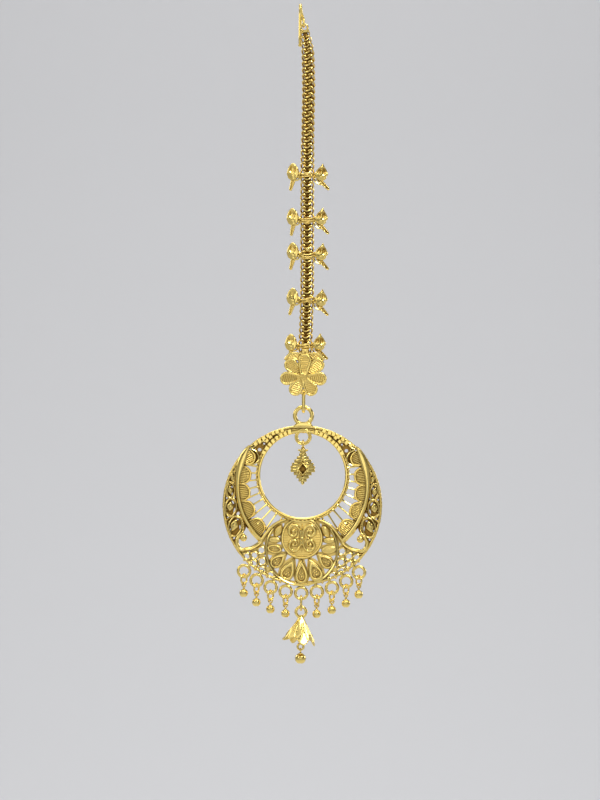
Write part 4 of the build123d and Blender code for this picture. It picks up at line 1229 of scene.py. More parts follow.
# --- ladder bars from the rope to the shells
BARS = [25.4, 33.65, 41.95, 50.25, 58.55, 66.85, 75.15, 83.45, 91.75, 100.0]
REACH = [12.5, 16.4, 16.6, 16.0, 15.1, 14.4, 14.2, 13.9, 13.8, 14.2]
for s in (-1, 1):
    for a, far in zip(BARS, REACH):
        p0 = arc(0, HOLE_UP, 11.35, a, a, 1)[0]
        p1 = arc(0, HOLE_UP, far, a, a, 1)[0]
        t = np.linspace(0, 1, 12)[:, None]
        line = p0 + (p1 - p0) * t
        rr = np.interp(t[:, 0], [0, 0.12, 0.25, 0.75, 0.9, 1], [0.38, 0.28, 0.225, 0.225, 0.28, 0.38])
        border(cr, P[s], line, rr, 0.05, closed=False, sides=8, tall=1.2)

# --- lower sheet with its pierced holes
# mesh holes: across, up, half width across the radius, half width along it
MESH_HOLES = [(10.1, -11.4, 0.70, 0.66), (11.8, -12.68, 0.70, 0.62), (13.70, -12.90, 0.66, 0.48), (9.87, -14.18, 0.70, 0.66),
              (11.90, -14.65, 0.68, 0.50), (9.87, -16.22, 0.68, 0.48), (7.67, -17.42, 0.64, 0.46)]
TRIANGLES = [
    [(0.72, -13.63), (1.53, -13.44), (1.3, -15.62)], [(2.48, -12.95), (3.59, -12.37), (4.13, -13.96)],
    [(4.19, -11.64), (4.61, -10.8), (5.69, -11.57)], [(5.12, -9.97), (5.22, -9.19), (6.35, -9.62)],
    [(5.49, -8.3), (5.4, -7.71), (6.05, -7.87)], [(7.2, -7.7), (7.2, -7.2), (7.8, -7.75)],
    [(4.35, -4.55), (4.93, -4.6), (4.78, -5.62)], [(5.53, -15.7), (6.9, -15.99), (5.95, -17.1)],
    [(7.35, -12.68), (8.5, -12.42), (8.06, -13.73)], [(2.1, -17.8), (3.27, -18.75), (1.63, -18.95)],
    [(9.35, -9.15), (9.75, -9.65), (9.3, -10.2)],
]
SMALL = [(9.15, -12.75, 0.20), (13.0, -11.85, 0.17), (10.80, -15.35, 0.18), (8.45, -15.35, 0.20), (10.95, -13.60, 0.16)]
sheet_right = np.vstack([
    arc(0, 0, 19.62, 0, 50.5, 40),
    [(14.3, -11.55)],
    smooth([(14.16, -11.15), (12.53, -10.85), (10.82, -9.76), (10.15, -8.85)], 12),
    smooth([(10.15, -8.85), (9.25, -7.5), (7.75, -5.6), (6.1, -4.35), (4.2, -3.62)], 12)[1:],
    arc(0, HOLE_UP, 11.1, 21.0, 0.0, 9)[:-1],
])
sheet_left = (sheet_right * [-1, 1])[::-1]
whole = np.vstack([sheet_right, [(0.0, HOLE_UP - 11.1)], sheet_left[:-1]])
clean = [whole[0]]
for q in whole[1:]:
    if np.linalg.norm(q - clean[-1]) > 1e-4:
        clean.append(q)
if np.linalg.norm(clean[0] - clean[-1]) < 1e-4:
    clean.pop()
holes = []
for s in (-1, 1):
    for u, v, across, along in MESH_HOLES:
        turn = math.degrees(math.atan2(u, -v))
        holes.append(turned(oval(across, along, 20), s * turn, s * u, v))
    for tri in TRIANGLES:
        holes.append(rounded([(s * a, b) for a, b in tri], 0.14, 3))
    for u, v, r in SMALL:
        holes.append(oval(r, r, 10) + [s * u, v])
plate(cr, P[1], np.array(clean), holes, -0.22, 0.06, 0.05)

# raised wire round each mesh hole
for s in (-1, 1):
    for u, v, across, along in MESH_HOLES:
        turn = math.degrees(math.atan2(u, -v))
        border(cr, P[s], turned(oval(across + 0.21, along + 0.21, 26), turn, u, v), 0.23, 0.12, kind=WIRE, sides=8, tall=1.25)
    for u, v in [(8.85, -13.3), (8.9, -15.2), (10.9, -15.75), (13.1, -14.1), (10.95, -12.3), (12.75, -11.9), (9.0, -17.3), (10.95, -17.2), (12.9, -15.9), (14.75, -12.1), (7.2, -16.4)]:
        ball(cr, P[s].at(u, v, 0.16), 0.27, 8, 6, kind=WIRE)

# --- boundary of the fan
border(cr, P[1], arc(0, -11.1, 8.9, -126, 126, 150), 0.28, 0.22, closed=False, sides=8, tall=1.3)

# --- medallion: one moulded face with a raised border and mirrored scrolls
MV = -8.2
med = oval(5.2, 5.2, 160) + [0, MV]
dist_hole = np.hypot(med[:, 0], med[:, 1] - HOLE_UP)
med = med - np.stack([med[:, 0] * 0, np.maximum(0, 11.3 - dist_hole)], 1)
CURL = smooth([(0.42, -8.05), (0.36, -7.1), (0.62, -6.0), (1.35, -5.15), (2.35, -5.1), (3.1, -5.85), (3.12, -6.85), (2.5, -7.62), (1.7, -7.55), (1.28, -6.95), (1.45, -6.3)], 70)
CURL_R = np.interp(np.linspace(0, 1, 70), [0, 0.3, 0.7, 1], [0.26, 0.42, 0.44, 0.30])
LOW = np.stack([CURL[:, 0] * 0.97, 2 * MV - CURL[:, 1] + 0.02], 1)
LOW_R = CURL_R * 0.95
ARCH = smooth([(0.0, -4.22), (0.85, -4.2), (2.0, -4.35), (3.15, -5.0), (3.9, -5.9)], 40)
SPINE = smooth([(0.0, -4.75), (0.0, -7.0), (0.0, -9.5), (0.0, -11.5)], 24)


def medal_face(p, d):
    q = np.stack([np.abs(p[:, 0]), p[:, 1]], 1)
    h = np.full(len(p), 0.46)
    # dished floor, hatch at the sides and curved lines below
    rr = np.hypot(p[:, 0], p[:, 1] - MV)
    h += 0.10 * (1 - (rr / 5.2) ** 2)
    side_zone = step01(q[:, 0], 3.30, 3.45) * step01(-p[:, 1], 5.6, 5.9)
    low_zone = step01(-p[:, 1], 11.42, 11.56)
    h += (0.06 - 0.11 * (0.5 - 0.5 * np.cos((p[:, 1] + 7.5) * TAU / 0.42)) ** 2) * np.maximum(side_zone, low_zone)
    body = 0.36 * strand(q, CURL, CURL_R) ** 1.5
    body = np.maximum(body, 0.36 * strand(q, LOW, LOW_R) ** 1.5)
    body = np.maximum(body, 0.16 * strand(q, ARCH, 0.17))
    body = np.maximum(body, 0.17 * strand(q, SPINE, 0.15))
    body = np.maximum(body, 0.34 * np.sqrt(np.maximum(0, 1 - ((q[:, 0] - 2.15) / 0.52) ** 2 - ((q[:, 1] + 6.45) / 0.52) ** 2)))
    body = np.maximum(body, 0.40 * np.sqrt(np.maximum(0, 1 - ((q[:, 0] - 2.10) / 0.50) ** 2 - ((q[:, 1] + 9.93) / 0.50) ** 2)))
    body = np.maximum(body, 0.30 * np.sqrt(np.maximum(0, 1 - ((q[:, 0] - 1.35) / 0.62) ** 2 - ((q[:, 1] - MV) / 0.26) ** 2)))
    body = np.maximum(body, 0.34 * np.sqrt(np.maximum(0, 1 - (q[:, 0] / 0.34) ** 2 - ((q[:, 1] - MV) / 0.40) ** 2)))
    h += body
    # raised border, then the rolled outer edge
    ridge = step01(d, 0.0, 0.10) * (1 - step01(d, 0.38, 0.52))
    h = np.where(d < 0.56, np.maximum(0.46 + 0.26 * ridge, np.where(d > 0.42, h, 0)), h)
    roll = np.sqrt(np.clip(1 - (1 - np.clip(d / 0.12, 0, 1)) ** 2, 0, 1))
    return 0.10 + (h - 0.10) * roll


follow = []
for line, radius in ((CURL, CURL_R), (LOW, LOW_R)):
    e = unit(np.gradient(line[:, :2], axis=0))
    across = np.stack([-e[:, 1], e[:, 0]], 1)
    for part in (-1.0, -0.62, 0.0, 0.62, 1.0):
        rail = line[:, :2] + across * (part * radius)[:, None]
        rail = rail[rail[:, 0] > 0.05]
        follow += [rail, rail * [-1, 1]]
follow = np.vstack(follow)
relief(cr, P[1], med, medal_face, -0.2, step=0.125, rows=(0.03, 0.08, 0.16, 0.27, 0.40, 0.50), lines=(0.105, -7.5), extra=follow,
       finish=lambda p, d: np.where((medal_face(p, np.maximum(d, 0)) > 0.66) | (d < 0.45), POLISHED, SATIN))

# --- leaves beside the medallion: across, up, length, width, turn
LEAVES = [(5.90, -6.45, 3.35, 2.0, 26.5), (6.80, -8.72, 3.0, 1.55, 90.0), (6.83, -11.0, 3.95, 2.25, 98.0)]
for s in (-1, 1):
    for q, (u, v, length, width, turn) in enumerate(LEAVES):
        loop = turned(vesica(length, width, 44, 1.12), turn, u, v)
        if s < 0 and q == 2:
            # the welled leaf's sunk floor takes the dark brown gold, painted shade
            floor = turned(vesica(length * 0.66, width * 0.56, 44, 1.05), turn, u, v)
            welled(cr, P[s], loop, floor, -0.2, 0.10, 0.50, 0.30, -0.06, floor_kind=PAINTED_SHADE)
            for w in (-0.65, -0.05, 0.55):
                ball(cr, P[s].at(u + w, v + 0.05, 0.04), 0.19, 10, 7)
        else:
            lump = 0.05 * (q == 0)
            moulded(cr, P[s], loop, (u, v), [(0.0, 0.10), (0.04, 0.28), (0.14, 0.40), (0.26, 0.44 + lump), (0.36, 0.42), (0.52, 0.50), (0.72, 0.55)], -0.2,
                    kinds=[POLISHED, POLISHED, POLISHED, POLISHED, SATIN])

# --- fan of five drops: across, up, length, width, turn, then the sunk floor's length and width
FAN = [(0.0, -16.5, 6.3, 3.4, 0.0, 3.5, 1.8), (3.17, -16.04, 6.4, 3.5, 25.3, 2.9, 2.0), (-3.17, -16.04, 6.4, 3.5, -25.3, 2.9, 2.0),
       (5.62, -13.66, 5.2, 3.15, 48.2, 3.0, 1.85), (-5.62, -13.66, 5.2, 3.15, -48.2, 3.0, 1.85)]
for u, v, length, width, turn, fl_len, fl_wide in FAN:
    loop = turned(tear(length, width, 56, 1.2), turn, u, v)
    at = turned([(0, -length * 0.11)], turn, u, v)[0]
    floor = turned(tear(fl_len, fl_wide, 56, 0.95), turn, *at)
    # each drop's sunk floor takes the dark brown gold, painted shade
    welled(cr, P[1], loop, floor, -0.2, 0.08, 0.56, 0.34, -0.10, floor_kind=PAINTED_SHADE)
    for q, w, r in ((0.0, -0.72, 0.34), (-0.36, -0.05, 0.26), (0.36, 0.05, 0.27), (0.02, 0.55, 0.22), (0.0, 1.02, 0.15)):
        gu, gv = turned([(q, w - length * 0.13)], turn, u, v)[0]
        ball(cr, P[1].at(gu, gv, 0.06), r, 12, 8)

# --- outer filigree between band and rim
ROSETTES = [(16.95, -5.2, 1.10, 1.6, 17.0), (18.02, -0.5, 0.95, 1.25, 5.0), (18.05, 3.6, 0.68, 1.1, -10.0), (17.5, 6.75, 0.42, 0.8, -19.0), (16.85, 8.75, 0.25, 0.55, -26.0)]
EYES = [(16.75, -5.45, 5.2, 3.2, 14.0), (17.85, -0.7, 4.6, 2.7, 9.0), (17.95, 3.55, 4.2, 2.0, -10.0), (17.35, 7.1, 3.2, 1.15, -20.0), (16.5, 9.6, 2.2, 0.68, -28.0)]
HOLES = [
    (17.70, 4.22, 0.36, 0.74, 8), (17.62, 2.74, 0.28, 0.86, 0), (17.02, 1.85, 0.46, 0.74, 20), (18.92, 1.54, 0.30, 0.50, -10),
    (17.36, 0.50, 0.36, 0.95, -32), (16.98, -1.47, 0.34, 1.20, 12), (16.02, -2.32, 0.72, 1.05, 30), (16.45, -3.86, 0.36, 1.25, 78),
    (15.5, -5.87, 0.30, 1.45, -6), (18.55, -3.33, 0.38, 0.55, 10), (16.95, -8.42, 0.40, 0.66, 26), (17.10, 5.05, 0.30, 0.66, -6),
    (17.3, 6.05, 0.26, 0.72, -14), (16.95, 7.25, 0.24, 0.62, -20), (16.55, 8.3, 0.20, 0.55, -24), (17.98, -6.35, 0.26, 0.62, 20),
]
for s in (-1, 1):
    fa = np.linspace(0.12, 0.80, 54)
    aa = ang0 + (ang1 - ang0) * fa
    inner_edge = np.stack([bu + (br + 0.30) * np.cos(aa), bv + (br + 0.30) * np.sin(aa)], 1)
    a_top = math.degrees(math.atan2(inner_edge[0][0], -inner_edge[0][1]))
    loop = np.vstack([inner_edge, [(14.35, -6.6), (15.2, -7.4), (15.95, -8.25), (16.3, -9.2)], arc(0, 0, 19.55, 60.2, a_top + 0.6, 50)])
    cut = [turned(oval(wide / 2, tall / 2, 14), turn, u, v) for u, v, wide, tall, turn in HOLES]
    # the sheet behind the piercings takes the dark brown gold, painted shade
    plate(cr, P[s], loop, cut, -0.22, -0.06, 0.03, kind=PAINTED_SHADE)
    for (u, v, ru, rv, turn), (eu, ev, length, width, eturn) in zip(ROSETTES, EYES):
        # a four-lobed dome in an eye of wire
        th = np.arange(44) / 44 * TAU
        lobe = 0.92 + 0.08 * np.cos(4 * th)
        petals = turned(np.stack([ru * lobe * np.cos(th), rv * lobe * np.sin(th)], 1), turn, u, v)
        moulded(cr, P[s], petals, (u, v), [
            (0.0, 0.10), (0.05 * ru, 0.26), (0.20 * ru, 0.26 + 0.24 * ru), (0.42 * ru, 0.26 + 0.36 * ru), (0.62 * ru, 0.26 + 0.38 * ru), (0.80 * ru, 0.26 + 0.44 * ru),
        ], -0.1, kind=POLISHED)
        eye = turned(vesica(length, width, 44, 1.0), eturn, eu, ev)
        # keep the wires between the band and the rim
        r_out = np.hypot(eye[:, 0], eye[:, 1])
        eye *= np.minimum(1, 19.25 / r_out)[:, None]
        from_band = np.hypot(eye[:, 0] - bu, eye[:, 1] - bv)
        push = np.maximum(1, (br + 0.75) / from_band)[:, None]
        eye = np.array([bu, bv]) + (eye - [bu, bv]) * push
        border(cr, P[s], eye, 0.23, 0.20, sides=8, rope=0.10, pitch=0.6, kind=WIRE, tall=1.1)
    for u, v in ((18.2, 1.5), (17.5, -2.95), (17.75, 5.55), (16.95, 8.25)):
        ball(cr, P[s].at(u, v, 0.24), 0.27, 10, 7, kind=WIRE)
    # scrolls that tie the crossings to the rim and to the band
    for line in ([(17.5, -2.95), (18.2, -3.35), (18.9, -3.9), (19.1, -4.6)], [(17.5, -2.95), (18.3, -2.6), (19.0, -2.1)],
                 [(17.5, -2.95), (16.7, -3.05), (15.7, -3.35)], [(18.2, 1.5), (18.8, 1.05), (19.25, 0.4)], [(18.2, 1.5), (18.75, 2.0), (19.1, 2.7)],
                 [(18.2, 1.5), (17.5, 1.2), (16.8, 0.6)], [(18.2, 1.5), (17.5, 2.1), (16.95, 2.9)], [(17.75, 5.55), (18.2, 5.0), (18.6, 4.9)],
                 [(17.75, 5.55), (17.25, 5.3), (16.95, 4.9)], [(15.6, -7.4), (16.3, -7.85), (17.3, -7.75), (18.0, -7.3)]):
        border(cr, P[s], smooth(line, 10), 0.20, 0.20, closed=False, sides=7, kind=WIRE)
    # beads along the rim in the narrow top
    for k in range(17):
        deg = 116 + 1.9 * k
        u, v = arc(0, 0, 18.95, deg, deg, 1)[0]
        if math.hypot(u - bu, v - bv) > br + 0.75:
            ball(cr, P[s].at(u, v, 0.22), 0.24, 8, 6, kind=WIRE)
    # grains close in along the rim and the band, clear of the piercings
    for rad_mid, cu, cv, r0 in ((18.86, 0.0, 0.0, 0.20), (br + 0.86, bu, bv, 0.19)):
        for k in range(34):
            deg = 60 + 2.35 * k
            u, v = cu + rad_mid * math.sin(math.radians(deg)), cv - rad_mid * math.cos(math.radians(deg))
            gap = math.hypot(u - bu, v - bv) - br
            if gap < 0.6 or math.hypot(u, v) > 19.1 or v < -7.0:
                continue
            if any(((u - hu) / (hw / 2 + 0.16)) ** 2 + ((v - hv) / (ht / 2 + 0.16)) ** 2 < 1 for hu, hv, hw, ht, _ in HOLES):
                continue
            ball(cr, P[s].at(u, v, 0.06), r0, 8, 5, kind=WIRE)
    # beads down the stem, ball and curl beside the open gap
    stem = smooth([(15.35, -2.9), (14.85, -4.3), (14.72, -5.6), (14.85, -6.9)], 60)
    border(cr, P[s], stem, 0.30, 0.15, closed=False, sides=10, rope=0.22, pitch=0.62, kind=WIRE)
    ball(cr, P[s].at(14.6, -8.35, 0.12), 0.90, 26, 18, squash=(1, 0.85, 1))
    curl = smooth([(14.85, -6.9), (15.35, -7.5), (15.95, -8.25), (16.30, -9.16), (15.95, -10.6), (14.95, -11.35), (14.1, -11.15)], 56)
    border(cr, P[s], curl, np.interp(np.linspace(0, 1, 56), [0, 0.3, 0.85, 1], [0.34, 0.50, 0.52, 0.42]), 0.15, closed=False, sides=14)
    hook_in = smooth([(15.3, -7.35), (14.75, -7.4), (14.4, -7.85)], 10)
    border(cr, P[s], hook_in, 0.34, 0.10, closed=False, sides=10)
    web = [(16.3, -9.3), (17.2, -9.35), (16.8, -10.3), (16.0, -11.3), (14.9, -12.4), (13.9, -12.3), (14.5, -11.4), (15.7, -10.8)]
    plate(cr, P[s], smooth(web, 40, True)[:, :2], [], -0.2, -0.02, 0.05)

# --- bail, collar and the inner ring
ring(cr, (PX, PY, -102.1), 2.14, 1.04, 0, 72, 16)
collar = [(-2.75, 19.25), (2.75, 19.25), (2.35, 19.95), (1.75, 20.55), (1.1, 20.85), (-1.1, 20.85), (-1.75, 20.55), (-2.35, 19.95)]
moulded(cr, P[1], rounded(collar, 0.3), (0, 20.0), [(0.0, 0.3), (0.08, 0.52), (0.22, 0.60), (0.5, 0.62)], -0.55, kind=POLISHED)
border(cr, P[1], smooth([(-3.2, 19.35), (-1.5, 19.75), (0, 19.85), (1.5, 19.75), (3.2, 19.35)], 30), 0.20, 0.48, closed=False, sides=8)
ball(cr, P[1].at(1.85, 20.25, 0.35), 0.32, 12, 8)
# the inner ring reads as two wires side by side
for radius, wire, d in ((1.70, 0.72, -0.05), (1.94, 0.42, 0.22), (1.46, 0.42, 0.22)):
    ring(cr, P[1].at(0.0, 17.1, d), radius, wire, 0, 56, 12)

# --- nine bottom loops
for k in range(-4, 5):
    deg = 10.2 * k
    u, v = arc(0, 0, 22.0, deg, deg, 1)[0]
    ring(cr, P[1].at(u, v, 0.0), 1.47, 0.76, 0, 48, 12)
    foot = np.vstack([arc(0, 0, r, deg, deg, 1) for r in np.linspace(19.3, 20.6, 5)])
    border(cr, P[1], foot, [0.5, 0.46, 0.42, 0.4, 0.4], 0.0, closed=False, sides=10)
for k in np.arange(-4.5, 5, 1):
    for dr, r in ((20.0, 0.30), (19.4, 0.22)):
        u, v = arc(0, 0, dr, 10.2 * k, 10.2 * k, 1)[0]
        ball(cr, P[1].at(u, v, 0.18), r, 10, 7, kind=WIRE)
cr.make("crescent_filigree", "pendant_body", "crescent")

# ================================================================ diamond drop
dd = Bag()
inner_low = CZ + 17.1 - 1.70
loop_z = inner_low + 0.45 + 0.06 + 0.25 - 0.85
ring(dd, (PX, PY, loop_z), 0.85, 0.5, 90, 40, 12)
TOP, MIDZ, TIP, HALF = -110.9, -115.45, -119.25, 3.08


def disc(bag, z, half, depth, thick, kind=POLISHED, n=56):
    """A level disc, round at its edge."""
    a = np.arange(n) / n * TAU
    rows = []
    for f, h in ((0.55, -1.0), (0.86, -0.82), (0.97, -0.42), (1.0, 0.0), (0.97, 0.42), (0.86, 0.82), (0.55, 1.0)):
        x, y = np.cos(a) * max(half - thick * (1 - f), half * 0.4), np.sin(a) * max(depth - thick * (1 - f), depth * 0.4)
        rows.append(np.stack([PX + x, PY + y, np.full(n, z + h * thick)], -1))
    v = np.vstack(rows + [[[PX, PY, z - thick]], [[PX, PY, z + thick]]])
    m = len(rows)
    faces = grid_faces(m, n, False, True)
    k = m * n
    for i in range(n):
        faces.append([k, (i + 1) % n, i])
        faces.append([k + 1, (m - 1) * n + i, (m - 1) * n + (i + 1) % n])
    bag.add(v, faces, kind)


sweep(dd, resample(np.array([(PX, PY, loop_z - 0.75), (PX, PY, -111.0)]), 0.15), 0.42, 12)
disc(dd, -110.42, 0.60, 0.60, 0.14, n=36)
disc(dd, -110.78, 1.16, 0.95, 0.24, n=40)
for s in (-1, 1):
    ball(dd, (PX + s * 1.02, PY, -110.72), 0.27, 12, 8)
# one body of stepped ribs, with smooth facets round a lozenge well in front
PITCH_D = 0.80
ROWS_D, COLS_D = 190, 112
zs = np.linspace(-111.05, TIP - 0.02, ROWS_D)


def taper(z):
    up = np.interp(z, [-115.0, -114.0, -113.3, -112.6, -111.9, -111.3], [HALF, 2.62, 2.05, 1.48, 0.98, 0.78])
    down = np.interp(z, [TIP, -118.85, -118.15, -117.3, -116.55, -116.0], [0.34, 0.68, 1.10, 1.70, 2.35, HALF])
    return np.where(z > MIDZ, up, down)


cell = np.round((zs - MIDZ - PITCH_D / 2) / PITCH_D)
mid_z = cell * PITCH_D + MIDZ + PITCH_D / 2
x_in = np.clip((zs - mid_z) / (PITCH_D / 2), -1, 1)
lip = np.sqrt(np.maximum(0, 1 - np.abs(x_in) ** 2.6))
step_half = np.maximum(0.30, taper(mid_z) - 0.19 * (1 - lip))
step_half[-6:] = np.minimum(step_half[-6:], np.linspace(0.42, 0.05, 6))
plain_half = np.maximum(0.25, taper(zs) - 0.10)
even = np.linspace(-1, 1, COLS_D)
front_s = 0.45 * np.sin(even * math.pi / 2) + 0.55 * even
back_s = np.sin(np.linspace(math.pi / 2, -math.pi / 2, 30))[1:-1]
rows, in_well = [], []
for z, h, hp in zip(zs, step_half, plain_half):
    line, inside = [], []
    for ss, sign in ((front_s, -1), (back_s, 1)):
        x = h * ss
        bulge = np.maximum(0, 1 - np.abs(ss) ** 1.7) ** 0.62
        depth = (0.10 + 0.40 * h) * bulge
        if sign < 0:
            loz = np.abs(x) / 0.95 + np.abs(z - MIDZ + 0.05) / (1.22 if z < MIDZ else 1.35)
            facet = 0.10 + 0.40 * hp - 0.17 * np.abs(x) - 0.16 * np.abs(z - MIDZ)
            zone = 1 - step01(loz, 1.55, 1.75)
            depth = depth * (1 - zone) + np.minimum(depth + 0.12, facet) * zone
            depth -= 0.66 * (1 - step01(loz, 0.80, 1.08))
            depth += 0.09 * np.exp(-(((loz - 1.20) / 0.13) ** 2)) * np.where(z > MIDZ, 1.0, 0.4)
            well = loz < 0.97
        else:
            well = np.zeros(len(x), bool)
        line.append(np.stack([PX + x, PY + sign * np.maximum(depth, 0.0), np.full(len(x), z)], -1))
        inside.append(well)
    rows.append(np.vstack(line))
    in_well.append(np.concatenate(inside))
v = np.stack(rows)
m = v.shape[1]
v = np.vstack([v.reshape(-1, 3), [[PX, PY, zs[0] + 0.02]], [[PX, PY, zs[-1] - 0.05]]])
faces = grid_faces(ROWS_D, m, False, True)
k = ROWS_D * m
for i in range(m):
    faces.append([k, i, (i + 1) % m])
    faces.append([k + 1, (ROWS_D - 1) * m + (i + 1) % m, (ROWS_D - 1) * m + i])
in_well = np.concatenate([np.concatenate(in_well), [False, False]])
# faces in the lozenge well take the dark brown gold, painted shade
dd.add(v, faces, [PAINTED_SHADE if in_well[list(f)].all() else POLISHED for f in faces])
ball(dd, (PX, PY, TIP + 0.16), 0.34, 16, 10)
dd.make("diamond", "pendant_body", "diamond_drop", sharp=46)

# ================================================================ ball drops
DROPS = [(-4, 58.0), (-3, 64.0), (-2, 60.0), (-1, 66.0), (1, 114.0), (2, 63.0), (3, 58.0), (4, 120.0)]
for number, (k, turn) in enumerate(DROPS, 1):
    u, v = arc(0, 0, 22.0, 10.2 * k, 10.2 * k, 1)[0]
    lx, lz_ = PX + u, CZ + v
    ring_z = lz_ - 1.47 + 0.38 + 0.06 + 0.25 - 1.25
    jr = Bag()
    # a jump ring with its cut, closed at the side
    a = math.radians(turn)
    ax = np.array([math.cos(a), math.sin(a), 0.0])
    t = np.radians(np.linspace(6, 354, 56))
    path = np.array([lx, PY, ring_z]) + 1.25 * np.cos(t)[:, None] * ax + 1.25 * np.sin(t)[:, None] * np.array([0, 0, 1.0])
    sweep(jr, path, 0.25, 12, hint=(math.sin(a), -math.cos(a), 0))
    jr.make(f"jump_ring_{number}", "pendant_body", f"drop_ring_{number}")
    bd = Bag()
    eye_z = ring_z - 1.25 + 0.25 + 0.048 + 0.18 - 0.55
    ball_z = lz_ - 5.5
    ring(bd, (lx, PY, eye_z), 0.55, 0.36, turn + 90, 32, 10)
    sweep(bd, resample(np.array([(lx, PY, eye_z - 0.50), (lx, PY, ball_z + 0.6)]), 0.12), 0.25, 12)
    ring_path = circle_path((lx, PY, ball_z + 0.98), (1, 0, 0), (0, 1, 0), 0.30, 0.30, 24)
    sweep(bd, ring_path, 0.11, 8, True, hint=(0, 0, 1), kind=WIRE)
    ball(bd, (lx, PY, ball_z), 1.10, 56, 32, seam=0.10, facet=0.035)
    bd.make(f"ball_{number}", "pendant_body", f"drop_ball_{number}")

# ================================================================ bell
lx, lz0 = PX, CZ - 22.0
link_top = lz0 - 1.47 + 0.38 + 0.06 + 0.30 - 0.8
link_low = -151.25 + 1.26 - 0.36 - 0.06 - 0.30 + 0.8
pts = [(PX, PY + 0.8 * math.cos(a), link_top + 0.8 * math.sin(a)) for a in np.linspace(0, math.pi, 15)]
if link_top - link_low > 0.3:
    pts += [(PX, PY - 0.8, z) for z in np.linspace(link_top, link_low, 5)[1:-1]]
pts += [(PX, PY - 0.8 * math.cos(a), link_low - 0.8 * math.sin(a)) for a in np.linspace(0, math.pi, 15)]
if link_top - link_low > 0.3:
    pts += [(PX, PY + 0.8, z) for z in np.linspace(link_low, link_top, 5)[1:-1]]
bl = Bag()
sweep(bl, np.array(pts), 0.30, 12, True, hint=(1, 0, 0))
bl.make("bell_jump_link", "pendant_body", "bell_link")

bell = Bag()
# ring, a little heart-shaped
t = np.arange(56) / 56 * TAU
heart = np.stack([PX + 1.26 * np.cos(t) * (1 + 0.05 * np.sin(t)), np.full(56, PY), -151.25 + 1.26 * np.sin(t) * (1 - 0.06 * np.cos(2 * t))], 1)
sweep(bell, heart, 0.38, 10, True, hint=(0, -1, 0))
# petals round the mouth: from and to (degrees), how far its tip hangs, how far it spreads
BELL_PETALS = [(244, 318, 2.05, 0.68), (318, 381, 2.65, 0.50), (21, 92, 1.7, 1.08), (92, 162, 2.3, 0.25), (162, 244, 1.05, 1.75)]
NA, NT = 300, 44
deg = np.arange(NA) / NA * 360.0
petal, reach_low, spread, side_mm = (np.zeros(NA) for _ in range(4))
for a0, a1, low, out in BELL_PETALS:
    f = ((deg - a0) % 360) / (a1 - a0)
    here = f < 1
    petal[here] = np.sin(math.pi * f[here])
    reach_low[here], spread[here] = low, out
    side_mm[here] = (f[here] - 0.5) * math.radians(a1 - a0)
phi = np.radians(deg)
edge_z = -156.90 - reach_low * petal**1.05
flare = 3.00 + spread * petal**1.2
tt = np.linspace(0, 1, NT)
A, T = np.meshgrid(phi, tt, indexing="ij")
E, F, PT, SD = edge_z[:, None], flare[:, None], petal[:, None], side_mm[:, None]
zz = -152.25 + (E + 152.25) * T
rr = 0.50 + 2.50 * T**0.90 + (F - 3.00) * np.clip((T - 0.15) / 0.85, 0, 1) ** 1.15
rr += 0.10 * np.clip((T - 0.82) / 0.18, 0, 1) ** 2 * PT
# shallow folds between the petals
rr -= np.exp(-(PT**2) / 0.03) * 0.16 * np.clip(T * 1.25, 0, 1)
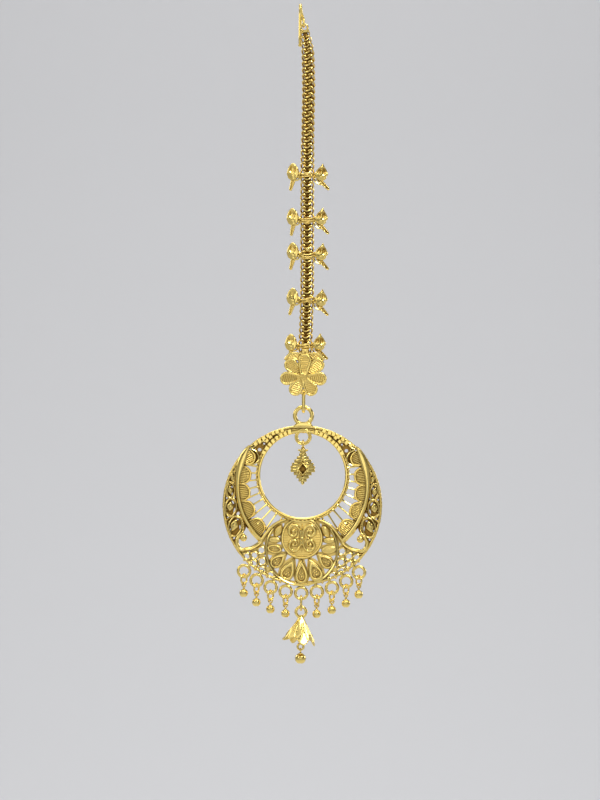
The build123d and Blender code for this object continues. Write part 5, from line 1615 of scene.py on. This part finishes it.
# on each petal a crease that rolls down to the left, and a softer one beside it
for start, end, power, high, wide in ((0.10, -0.52, 1.5, 0.16, 0.17), (0.20, 0.34, 1.0, 0.09, 0.16)):
    line = start + (end - start) * np.clip((T - 0.2) / 0.8, 0, 1) ** power
    off = (SD - line) * rr
    fade = step01(T, 0.18, 0.42)
    rr = rr + high * fade * (np.exp(-((off / wide) ** 2)) - 0.8 * np.exp(-(((off - 1.7 * wide) / wide) ** 2)))
thick = 0.40
out_v = np.stack([PX + rr * np.cos(A), PY + rr * np.sin(A), zz], -1)
ri = np.maximum(0.02, rr - thick * (1 - 0.45 * T))
in_v = np.stack([PX + ri * np.cos(A), PY + ri * np.sin(A), zz - 0.34 * (1 - T)], -1)
v = np.vstack([out_v.reshape(-1, 3), in_v.reshape(-1, 3), [[PX, PY, -152.05]], [[PX, PY, -152.9]]])
k = NA * NT
skin = grid_faces(NA, NT, True, False)
lining = [[k + i for i in reversed(q)] for q in skin]
for i in range(NA):
    j = (i + 1) % NA
    skin.append([i * NT + NT - 1, j * NT + NT - 1, k + j * NT + NT - 1, k + i * NT + NT - 1])
    skin.append([2 * k, i * NT, j * NT])
    lining.append([2 * k + 1, k + j * NT, k + i * NT])
bell.add(v, skin + lining, [POLISHED] * len(skin) + [SATIN] * len(lining))
# rolled edge of the petals
edge = np.stack([PX + (rr[:, -1] - 0.12) * np.cos(phi), PY + (rr[:, -1] - 0.12) * np.sin(phi), zz[:, -1] + 0.02], -1)
sweep(bell, edge, 0.16, 8, True)
# post, and the stout eye under it that narrows where the tip hangs
sweep(bell, resample(np.array([(PX, PY, -152.6), (PX, PY, -159.05)]), 0.4), 0.30, 12)
ball(bell, (PX, PY, -157.2), 0.62, 16, 10, squash=(1, 1, 1.25), kind=SATIN)
t = np.arange(44) / 44 * TAU
eye = circle_path((PX, PY, -159.93), (1, 0, 0), (0, 0, 1), 0.74, 0.77, 44)
sweep(bell, eye, 0.30 - 0.065 * np.clip(-np.sin(t), 0, 1) ** 2, 12, True, hint=(0, -1, 0))
disc(bell, -152.12, 0.62, 0.62, 0.16, n=32)
bell.make("bell", "pendant_body", "bell_drop", sharp=50)

tip = Bag()
tip_eye = -160.2 - 0.5 + 0.2 + 0.048 + 0.16 - 0.45
ring(tip, (PX, PY, tip_eye), 0.45, 0.32, 90, 30, 10)
sweep(tip, resample(np.array([(PX, PY, tip_eye - 0.40), (PX, PY, -162.0)]), 0.1), 0.22, 10)
ball(tip, (PX, PY, -162.85), 1.375, 60, 38, seam=0.08, facet=0.035)
sweep(tip, circle_path((PX, PY, -161.58), (1, 0, 0), (0, 1, 0), 0.36, 0.36, 24), 0.12, 8, True, hint=(0, 0, 1), kind=WIRE)
tip.make("bell_tip", "pendant_body", "bell_ball")
